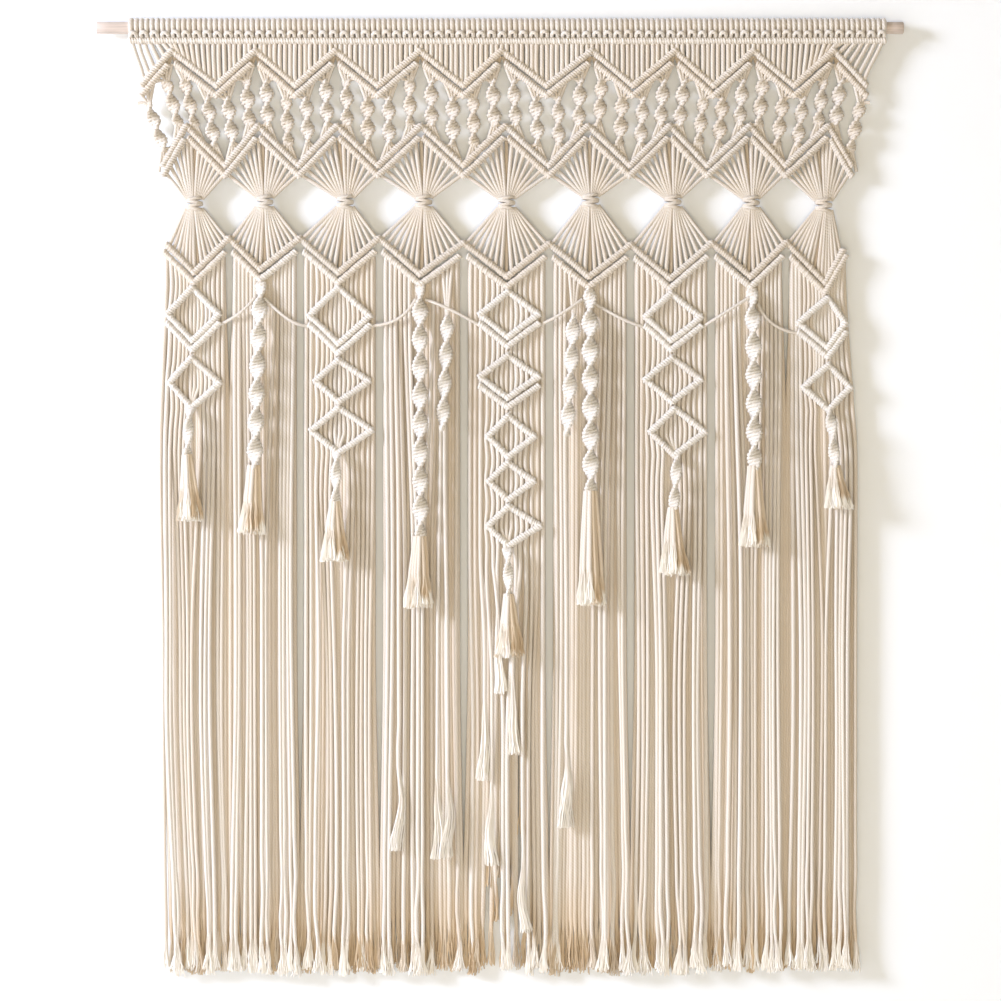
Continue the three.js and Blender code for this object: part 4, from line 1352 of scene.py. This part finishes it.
def hang(lines, cord, fringe, radius, fray, warmth=0.0, loose=1.0):
    """One cord from its root to its frayed foot: in its panel down to the settle height, then free."""
    root, foot = cord.root, cord.foot
    sway = loose * lines.random.uniform(-1, 1) * fringe.sway / MM
    if lines.random.random() < STRAY_SHARE:
        sway *= STRAY
    phase = lines.random.uniform(0, 2 * math.pi)
    waves = lines.random.uniform(FEWEST_WAVES, MOST_WAVES)
    curl = lines.random.uniform(0, fray.curl)
    radius *= lines.random.uniform(THINNEST, THICKEST)

    def place(z):
        free = max(0.0, (cord.settle - z) / (cord.settle - foot.z))
        x = lerp(root.x, cord.panel_x, eased((root.z - z) / HANG_EASE))
        x = drawn_in(cord.levels, cord.centre, x, z)
        x = lerp(x, cord.middle_x, eased(BUNCH_PACE * free))
        x = lerp(x, foot.x, eased((free - CLOSE_FROM) / (1 - CLOSE_FROM)))
        x += sway * free * math.sin(waves * math.pi * free + phase)
        low = eased((free - CURL_FROM) / (1 - CURL_FROM))
        x += curl * low * math.sin(2 * math.pi * (z - foot.z) / CURL_LENGTH + 2 * phase)
        y = lerp(root.y, foot.y, eased((cord.settle - z) / SETTLE_DROP))
        return Vector((x, y, z))

    path = [place(z) for z in heights(root.z, cord.settle, foot.z + fray.length)]
    reach = [radius] * len(path) + [END_TAPER * radius]
    lines.add(CORD, path + [place(foot.z + END_IN_FRAY * fray.length)], reach, 0, warmth)
    spread = fray.reach * lines.random.uniform(FRAY_LEAST, FRAY_MOST)
    steps = max(BRUSH_STEPS, round(fray.length / BRUSH_STEP))
    path = [place(lerp(foot.z + fray.length, foot.z, k / steps)) for k in range(steps + 1)]
    brush(lines, path, radius, spread, fray.strands, fray.bell, warmth)


def gathered(lines, root, centre, levels, twist, radius):
    """A cord of the panel that ends in the head of the spiral below it."""
    path = []
    for z in heights(root.z, twist.top_z + GATHER_EASE, twist.top_z - GATHER_PAST):
        near = eased((twist.top_z + GATHER_EASE - z) / GATHER_EASE)
        x = drawn_in(levels, centre, root.x, z)
        path.append(Vector((lerp(x, twist.top_x, GATHER_CLOSE * near), lerp(root.y, GATHER_Y, near), z)))
    lines.add(CORD, path, radius)


def edges(index, inner, outer):
    """Left and right edges of a drop at some height: its inner edges, or the curtain's own edges."""
    first, last = index == 0, index == len(REPEATS) - 1
    return (outer[0] if first else inner[0]), (outer[1] if last else inner[1])


def bunches(lines, count):
    """For each hanging cord, the middle of the bunch that it hangs in and how far back the bunch lies."""
    places = []
    forward = lines.random.random() < 0.5
    while len(places) < count:
        size = min(lines.random.choice(BUNCH_SIZES), count - len(places))
        back = lines.random.uniform(*(FORWARD if forward else RECESSED))
        places += [(len(places) + size / 2, back)] * size
        forward = not forward
    return places


def matching(table, number):
    """The rows of a table that belong to one drop."""
    return [row for row in table if row.drop == number]


def hanging_cords(lines, index, left, right, fringe, radius):
    """The cords of a drop that hang to the hem, in front of and behind each other."""
    number = index + 1
    entries = matching(DIAMONDS, number)
    levels = panel_levels(entries)
    slots = ODD_CORDS if entries else EVEN_CORDS
    skipped = ODD_SKIPPED if entries else EVEN_SKIPPED
    inner = (left - SEAM_PAST, right + SEAM_PAST)
    panel_left, panel_right = edges(index, inner, (OUTER_LEFT, OUTER_RIGHT))
    hem_left, hem_right = edges(index, (left - SEAM_HALF, right + SEAM_HALF), (HEM_LEFT, HEM_RIGHT))
    centre = entries[0].x if entries else (left + right) / 2
    kept = [k for k in range(slots) if k not in skipped]
    hem_pitch = (hem_right - hem_left) / len(kept)
    grouped = bunches(lines, len(kept))
    depth = fringe.depth / MM
    for k in range(slots):
        part = (k + 0.5) / slots
        root_x = lerp(left, right, part)
        root = Vector((root_x, PANEL_Y, height_at(ZIGZAG_3, root_x) - ROOT_OUT))
        if k in skipped:
            if entries:
                gathered(lines, root, centre, levels, TWISTS[index], radius)
            continue
        own = kept.index(k) + 0.5
        middle, back = grouped[kept.index(k)]
        share = lerp(own, middle, BUNCHING) / len(kept)
        layer = (back + lines.random.uniform(-LAYER_STRAY, LAYER_STRAY)) * depth
        foot_x = lerp(hem_left, hem_right, share)
        foot_z = hem_level(foot_x) + lines.random.uniform(HEM_LOWER, HEM_HIGHER)
        side = [s for s in matching(SIDE_SPIRALS, number) if abs(s.top_x - root_x) < s.width / 2]
        if side:
            end = Vector((side[0].top_x, SIDE_START, side[0].top_z - SIDE_LEAD))
            lines.add(CORD, [root, lerp(root, end, 0.5), end], radius)
            continue
        hem_x = lerp(hem_left, hem_right, own / len(kept))
        short = [end for end in matching(SHORT_CORDS, number) if abs(end.x - hem_x) <= hem_pitch / 2]
        settle = entries[-1].bottom if entries else root.z - SETTLE
        panel_x = lerp(panel_left, panel_right, part)
        if short:
            foot = Vector((short[0].x, SHORT_FRONT * depth, short[0].foot))
            cord = Hanging(root, panel_x, foot.x, settle, foot, centre, levels)
            hang(lines, cord, fringe, radius, short_end(fringe))
            continue
        foot = Vector((foot_x, layer, foot_z))
        middle_x = lerp(panel_left, panel_right, share)
        cord = Hanging(root, panel_x, middle_x, settle, foot, centre, levels)
        # Painted shade on the cords of the bunches that lie further back
        warmth = RECESS_PAINTED_SHADE if back >= RECESSED[0] else 0.0
        hang(lines, cord, fringe, radius, frayed_end(fringe, FRONT_FRAY, fringe.fray_strands), warmth)
    back_cords(lines, index, (left, right), (hem_left, hem_right), fringe)


def back_cords(lines, index, inner, hem, fringe):
    """The cords at the back of a drop, close side by side. They close some of the seams beside it."""
    past_left, past_right = (BACK_PAST * (seam in CLOSED_SEAMS) for seam in (index, index + 1))
    sides = (inner[0] - past_left, inner[1] + past_right)
    panel_left, panel_right = edges(index, sides, (OUTER_LEFT + BACK_OUTER, OUTER_RIGHT - BACK_OUTER))
    low_inner = (hem[0] - BACK_HEM_PAST, hem[1] + BACK_HEM_PAST)
    low_left, low_right = edges(index, low_inner, (hem[0] + BACK_HEM_IN, hem[1] - BACK_HEM_IN))
    thinned = [end.x for end in matching(SHORT_CORDS, THIN_DROP)] if index + 1 == THIN_DROP else []
    fray = frayed_end(fringe, BACK_FRAY, fringe.back_strands)
    for k in range(BACK_CORDS):
        part = (k + 0.5) / BACK_CORDS
        root_x = lerp(*inner, part)
        root = Vector((root_x, BACK_Y, height_at(ZIGZAG_3, root_x) - ROOT_OUT))
        hem_x = lerp(low_left, low_right, part)
        level = hem_level(hem_x) + BACK_RISE + lines.random.uniform(BACK_LOWER, BACK_HIGHER)
        if k % THIN_KEPT and thinned and min(thinned) < hem_x < max(thinned):
            level = lines.random.uniform(THIN_FOOT, THIN_LOWEST)
        foot = Vector((hem_x, lines.random.uniform(BACK_NEAR, BACK_FAR), level))
        middle_x = lerp(panel_left, panel_right, part)
        cord = Hanging(root, middle_x, middle_x, root.z - SETTLE, foot, root_x, [])
        # The cords at the back carry painted shade
        hang(lines, cord, fringe, BACK_RADIUS, fray, BACK_PAINTED_SHADE, BACK_LOOSE)


# Where a diamond's second row lies under the first
SECOND_ROW = -0.9 * ROW_HEIGHT


def diamond(lines, entry, reach, radius):
    """Four bars round an open middle, with a second row under the lower two where there is one."""
    middle = (entry.top + entry.bottom) / 2
    top, bottom = Node(entry.x, entry.top), Node(entry.x, entry.bottom)
    left, right = Node(entry.left, middle), Node(entry.right, middle)
    rows = [(left, top), (top, right), (left, bottom), (bottom, right)]
    if entry.rows == 2:
        rows += [(raised(start, SECOND_ROW), raised(end, SECOND_ROW)) for start, end in rows[2:]]
    for start, end in rows:
        # The diamonds' bars take the tone of painted light
        bar(lines, start, end, DIAMOND_Y, reach, radius, PAINTED_LIGHT_TONE)


# Long spirals and the shorter ones beside them
CORE_SHARE = 0.13
TWIST_STEPS = 12
TWIST_HEAD, TWIST_FOOT = 0.65, 0.7
TWIST_START, TWIST_FRONT, TWIST_PACE = -4.0, -18.0, 4
SIDE_START, SIDE_FRONT, SIDE_PACE = -9.0, -13.0, 3
SIDE_LEAD = 4
TAIL_APART = 2.5
# How far the cords below a spiral start inside it
FOOT_OVERLAP = 5

# Tassels
GOLDEN_TURN = math.radians(137.5)
TASSEL_DEPTH = 0.6
TASSEL_SPREAD = 5.5
TASSEL_PARTING = 0.12
TASSEL_NECK = 0.3
TASSEL_WAVE = 2.4
TASSEL_THICKNESS = 1.1
TASSEL_STEPS = 6
TASSEL_UNEVEN = 2
TASSEL_STRANDS = 0.75
# Tones of its left and right sides, the right side browner as painted shade where the tassel is in its own
# shadow, and how far from the middle the change begins
TASSEL_PAINTED_SHADE = (0.3, 2.8)
TASSEL_CHANGE = 0.25


def spiral_path(entry, start_y, front, pace):
    """Centre line and half widths of a spiral that comes forward from its bar."""
    path = []
    for k in range(TWIST_STEPS + 1):
        part = k / TWIST_STEPS
        x, z = lerp(entry.top_x, entry.foot_x, part), lerp(entry.top_z, entry.foot_z, part)
        path.append(Vector((x, lerp(start_y, front, eased(pace * part)), z)))
    half = entry.width / 2
    return path, [TWIST_HEAD * half] + [half] * (TWIST_STEPS - 1) + [TWIST_FOOT * half]


def long_spiral(lines, entry, *course):
    """Half knots tied over a core."""
    path, reach = spiral_path(entry, *course)
    # The half knots take the tone of painted light
    lines.add(HALF_KNOTS, path, reach, 0, PAINTED_LIGHT_TONE)
    lines.add(CORD, path, CORE_SHARE * entry.width)


def tassel(lines, entry, fringe, radius):
    """Cords that spread from the foot of a spiral, with frayed ends."""
    foot = Vector((entry.foot_x, TWIST_FRONT, entry.foot_z + FOOT_OVERLAP))
    hem = Vector((entry.hem_x, TWIST_FRONT, entry.hem_z + TASSEL_UNEVEN))
    neck = TASSEL_NECK * entry.width
    skirt = entry.flare / 2
    fray = fringe.tassel_fray / MM
    strands = round(TASSEL_STRANDS * fringe.fray_strands)
    for k in range(fringe.tassel_cords):
        away = math.sqrt((k + 0.5) / fringe.tassel_cords)
        across, through = away * math.cos(GOLDEN_TURN * k), TASSEL_DEPTH * away * math.sin(GOLDEN_TURN * k)
        parted = math.copysign(lerp(TASSEL_PARTING, 1.0, abs(across)), across)
        top = foot + Vector((neck * across, neck * through, 0))
        uneven = lines.random.uniform(-TASSEL_UNEVEN, TASSEL_UNEVEN)
        end = hem + Vector((skirt * parted, skirt * through, uneven))
        pull = lerp(top, end, 0.5) + Vector((lines.random.uniform(-TASSEL_WAVE, TASSEL_WAVE), 0, 0))
        start = 1 - fray / (top.z - end.z)

        def place(part):
            return lerp(lerp(top, pull, part), lerp(pull, end, part), part)

        # Painted shade that grows towards the tassel's right side and fades back at the frayed ends
        warmth = lerp(*TASSEL_PAINTED_SHADE, eased((across + TASSEL_CHANGE) / (2 * TASSEL_CHANGE)))
        cord = [place(lerp(0, start, i / TASSEL_STEPS)) for i in range(TASSEL_STEPS + 1)]
        thickness = [TASSEL_THICKNESS * radius] * len(cord) + [END_TAPER * radius]
        lines.add(CORD, cord + [place(lerp(start, 1, 0.5))], thickness, 0, warmth)
        ends = [place(lerp(start, 1, i / BRUSH_STEPS)) for i in range(BRUSH_STEPS + 1)]
        paling = [lerp(warmth, TASSEL_PAINTED_SHADE[0], i / BRUSH_STEPS) for i in range(BRUSH_STEPS + 1)]
        brush(lines, ends, radius, TASSEL_SPREAD, strands, 1.0, paling)


def tails(lines, entry, fringe, radius):
    """Cords that hang on below a shorter spiral."""
    ends = [end for end in matching(SHORT_CORDS, entry.drop) if abs(end.x - entry.foot_x) < entry.width / 2]
    for k, end in enumerate(ends):
        apart = TAIL_APART if k else -TAIL_APART
        root = Vector((entry.foot_x + apart, SIDE_FRONT, entry.foot_z + FOOT_OVERLAP))
        foot = Vector((end.x, SIDE_FRONT, end.foot))
        cord = Hanging(root, root.x, foot.x, root.z - SETTLE, foot, root.x, [])
        hang(lines, cord, fringe, radius, short_end(fringe))


# Each drop has random draws of its own
DROP_SEEDS = 10


def make_drop(scene, index):
    """One drop: its bar, hanging cords, diamonds or spirals, and tassel."""
    number = index + 1
    fringe = scene.curtain_fringe
    radius = scene.curtain_cord.radius / MM
    reach = scene.curtain_knots.bar_half / MM
    lines = Lines(fringe.seed + DROP_SEEDS * number)
    before, after = SEAMS[index].cross_x, SEAMS[index + 1].cross_x
    inner = (before + SEAM_HALF, after - SEAM_HALF)
    left, right = edges(index, inner, (before - EDGE_OUT, after + EDGE_OUT))
    tip = Node(REPEATS[index].tip_x, REPEATS[index].tip_z - ROW_HEIGHT / 2)
    for x in (left, right):
        edge = Node(x, height_at(ZIGZAG_3, x) - ROW_HEIGHT / 2)
        bar(lines, edge, tip, BAR_Y, reach, radius)
    hanging_cords(lines, index, left, right, fringe, radius)
    for entry in matching(DIAMONDS, number):
        diamond(lines, entry, reach, radius)
    long_spiral(lines, TWISTS[index], TWIST_START, TWIST_FRONT, TWIST_PACE)
    tassel(lines, TWISTS[index], fringe, radius)
    for entry in matching(SIDE_SPIRALS, number):
        long_spiral(lines, entry, SIDE_START, SIDE_FRONT, SIDE_PACE)
        tails(lines, entry, fringe, radius)
    return work_up(f"knotted_drop_{number}", lines, scene, [f"drop_{number}"])


# Swags

SWAG_Y = -2.8
SWAG_BOW = 6.0
SWAG_STEPS = 16
SWAG_TUCK = 6.0
SWAG_DROP = 12.0
SWAG_RISE = 3
SWAG_RADIUS = 2.0
SWAG_SEEDS = 200


def make_swag(scene, index):
    """A single cord that swings from a diamond's corner to a spiral's head."""
    swag = SWAGS[index]
    lines = Lines(scene.curtain_fringe.seed + SWAG_SEEDS + index)
    onward = 1 if swag.to_x > swag.from_x else -1
    start = Vector((swag.from_x - onward * SWAG_TUCK, SWAG_Y, swag.from_z - SWAG_DROP))
    through = Vector((swag.mid_x, SWAG_Y - SWAG_BOW, swag.mid_z))
    end = Vector((swag.to_x + onward * SWAG_TUCK / 2, SWAG_Y - SWAG_BOW / 2, swag.to_z + SWAG_RISE))
    pull = 2 * through - (start + end) / 2
    path = []
    for k in range(SWAG_STEPS + 1):
        part = k / SWAG_STEPS
        path.append(lerp(lerp(start, pull, part), lerp(pull, end, part), part))
    lines.add(CORD, path, SWAG_RADIUS)
    return work_up(f"cord_swag_{index + 1}", lines, scene, [f"swag_{index + 1}"])


# Stage

SENSOR = 36.0
VIEW_X = 0.0006
STAGE_REACH = 6.0
WALL_TOP = 2.0
WALL_FINISH = {"Base Color": (0.93, 0.968, 1.0, 1.0), "Roughness": 0.9, "Specular IOR Level": 0.1}
FLOOR_FINISH = {"Base Color": (0.86, 0.86, 0.85, 1.0), "Roughness": 0.8}
KEY_DISTANCE = 5.0
KEY_FROM = KEY_DISTANCE * Vector((-0.85, -0.45, 0.28)).normalized()
KEY_SIZE = 1.5
KEY_COLOUR = (0.945, 1.0, 1.2)
FILL_DISTANCE = 3.2
FILL_FROM = FILL_DISTANCE * Vector((0.0, -1.0, -0.12)).normalized()
FILL_SIZE = 1.1
FILL_COLOUR = (1.0, 0.85, 0.62)
SKY_COLOUR = (1.0, 0.88, 0.69, 1.0)


def sheet_object(name, corners, material):
    """A flat stage sheet through four corners."""
    mesh = bpy.data.meshes.new(name)
    mesh.from_pydata(corners, [], [(0, 1, 2, 3)])
    mesh.materials.append(material)
    sheet = bpy.data.objects.new(name, mesh)
    bpy.context.scene.collection.objects.link(sheet)
    return sheet


def wall_material():
    """White wall that only stands in the way from its front."""
    material, tree, shader = new_material("white_wall")
    set_values(shader, WALL_FINISH)
    clear = add_node(tree, "ShaderNodeBsdfTransparent").outputs[0]
    behind = add_node(tree, "ShaderNodeNewGeometry").outputs["Backfacing"]
    mixed = add_node(tree, "ShaderNodeMixShader", {0: behind, 1: shader.outputs[0], 2: clear}).outputs[0]
    tree.links.new(mixed, tree.nodes["Material Output"].inputs["Surface"])
    return material


def floor_material():
    """Plain pale floor."""
    material, _, shader = new_material("pale_floor")
    set_values(shader, FLOOR_FINISH)
    return material


def soft_light(name, middle, source, size, power, colour):
    """A round soft light, set off from the curtain's middle and facing it."""
    light = bpy.data.lights.new(name, "AREA")
    light.shape = "DISK"
    light.size = size
    light.energy = power
    light.color = colour
    lamp = bpy.data.objects.new(name, light)
    lamp.location = middle + source
    lamp.rotation_euler = (-source).to_track_quat("-Z", "Y").to_euler()
    bpy.context.scene.collection.objects.link(lamp)


def make_stage(scene):
    """Floor, wall, soft light and a camera straight in front."""
    stage = scene.curtain_stage
    reach, low, back = STAGE_REACH, stage.floor_z, stage.wall_gap
    sheet_object("pale_floor", [
        (-reach, -reach, low), (reach, -reach, low), (reach, reach, low), (-reach, reach, low),
    ], floor_material())
    sheet_object("white_wall", [
        (-reach, back, low), (reach, back, low), (reach, back, WALL_TOP), (-reach, back, WALL_TOP),
    ], wall_material())
    middle = Vector((0, 0, stage.view_z))
    soft_light("soft_key", middle, KEY_FROM, KEY_SIZE, stage.key_power, KEY_COLOUR)
    soft_light("front_fill", middle, FILL_FROM, FILL_SIZE, stage.fill_power, FILL_COLOUR)
    world = bpy.data.worlds.new("even_surroundings")
    world.use_nodes = True
    background = world.node_tree.nodes["Background"]
    background.inputs["Color"].default_value = SKY_COLOUR
    background.inputs["Strength"].default_value = stage.sky_strength
    scene.world = world
    lens = bpy.data.cameras.new("front_camera")
    lens.sensor_width = SENSOR
    lens.lens = stage.lens
    camera = bpy.data.objects.new("front_camera", lens)
    camera.location = (VIEW_X, -stage.view_width * stage.lens / SENSOR, stage.view_z)
    camera.rotation_euler = (math.pi / 2, 0, 0)
    scene.collection.objects.link(camera)
    scene.camera = camera
    scene.view_settings.view_transform = "Standard"


# Operators


class CURTAIN_OT_rod(bpy.types.Operator):
    """Make the wooden rod"""

    bl_idname = "curtain.rod"
    bl_label = "Rod"

    def execute(self, context):
        make_rod(context.scene)
        return {"FINISHED"}


class CURTAIN_OT_heading(bpy.types.Operator):
    """Make the loops on the rod and the bar under them"""

    bl_idname = "curtain.heading"
    bl_label = "Heading"

    def execute(self, context):
        make_heading(context.scene)
        return {"FINISHED"}


class CURTAIN_OT_net(bpy.types.Operator):
    """Make the zigzags, short spirals, fans and gathering knots"""

    bl_idname = "curtain.net"
    bl_label = "Net"

    def execute(self, context):
        make_net(context.scene)
        return {"FINISHED"}


class CURTAIN_OT_drops(bpy.types.Operator):
    """Make the drops with their diamonds, spirals, tassels and hanging cords"""

    bl_idname = "curtain.drops"
    bl_label = "Drops"

    def execute(self, context):
        for index in range(len(REPEATS)):
            make_drop(context.scene, index)
        return {"FINISHED"}


class CURTAIN_OT_swags(bpy.types.Operator):
    """Make the swags between the drops"""

    bl_idname = "curtain.swags"
    bl_label = "Swags"

    def execute(self, context):
        for index in range(len(SWAGS)):
            make_swag(context.scene, index)
        return {"FINISHED"}


class CURTAIN_OT_stage(bpy.types.Operator):
    """Make the floor, wall, light and camera"""

    bl_idname = "curtain.stage"
    bl_label = "Stage"

    def execute(self, context):
        make_stage(context.scene)
        return {"FINISHED"}


class CURTAIN_PT_panel(bpy.types.Panel):
    """Lists the pieces of the curtain and their sizes"""

    bl_idname = "CURTAIN_PT_panel"
    bl_label = "Macrame Door Curtain"
    bl_space_type = "VIEW_3D"
    bl_region_type = "UI"
    bl_category = "Curtain"

    def draw(self, context):
        layout = self.layout
        for operator in OPERATORS:
            layout.operator(operator.bl_idname)
        for name in SETTINGS:
            group = getattr(context.scene, name)
            box = layout.box()
            for key in group.__annotations__:
                box.prop(group, key)


SETTINGS = {
    "curtain_cord": CurtainCord,
    "curtain_knots": CurtainKnots,
    "curtain_fringe": CurtainFringe,
    "curtain_stage": CurtainStage,
}
OPERATORS = (
    CURTAIN_OT_rod,
    CURTAIN_OT_heading,
    CURTAIN_OT_net,
    CURTAIN_OT_drops,
    CURTAIN_OT_swags,
    CURTAIN_OT_stage,
)


def register():
    """Register the settings, the operators and the panel."""
    for group in SETTINGS.values():
        bpy.utils.register_class(group)
    for name, group in SETTINGS.items():
        setattr(bpy.types.Scene, name, PointerProperty(type=group))
    for operator in OPERATORS:
        bpy.utils.register_class(operator)
    bpy.utils.register_class(CURTAIN_PT_panel)


def unregister():
    """Take the panel, the operators and the settings away again."""
    bpy.utils.unregister_class(CURTAIN_PT_panel)
    for operator in reversed(OPERATORS):
        bpy.utils.unregister_class(operator)
    for name in SETTINGS:
        delattr(bpy.types.Scene, name)
    for group in reversed(SETTINGS.values()):
        bpy.utils.unregister_class(group)


def main():
    """Make the curtain and its stage."""
    register()
    bpy.ops.curtain.rod()
    bpy.ops.curtain.heading()
    bpy.ops.curtain.net()
    bpy.ops.curtain.drops()
    bpy.ops.curtain.swags()
    bpy.ops.curtain.stage()


if __name__ == "__main__":
    main()
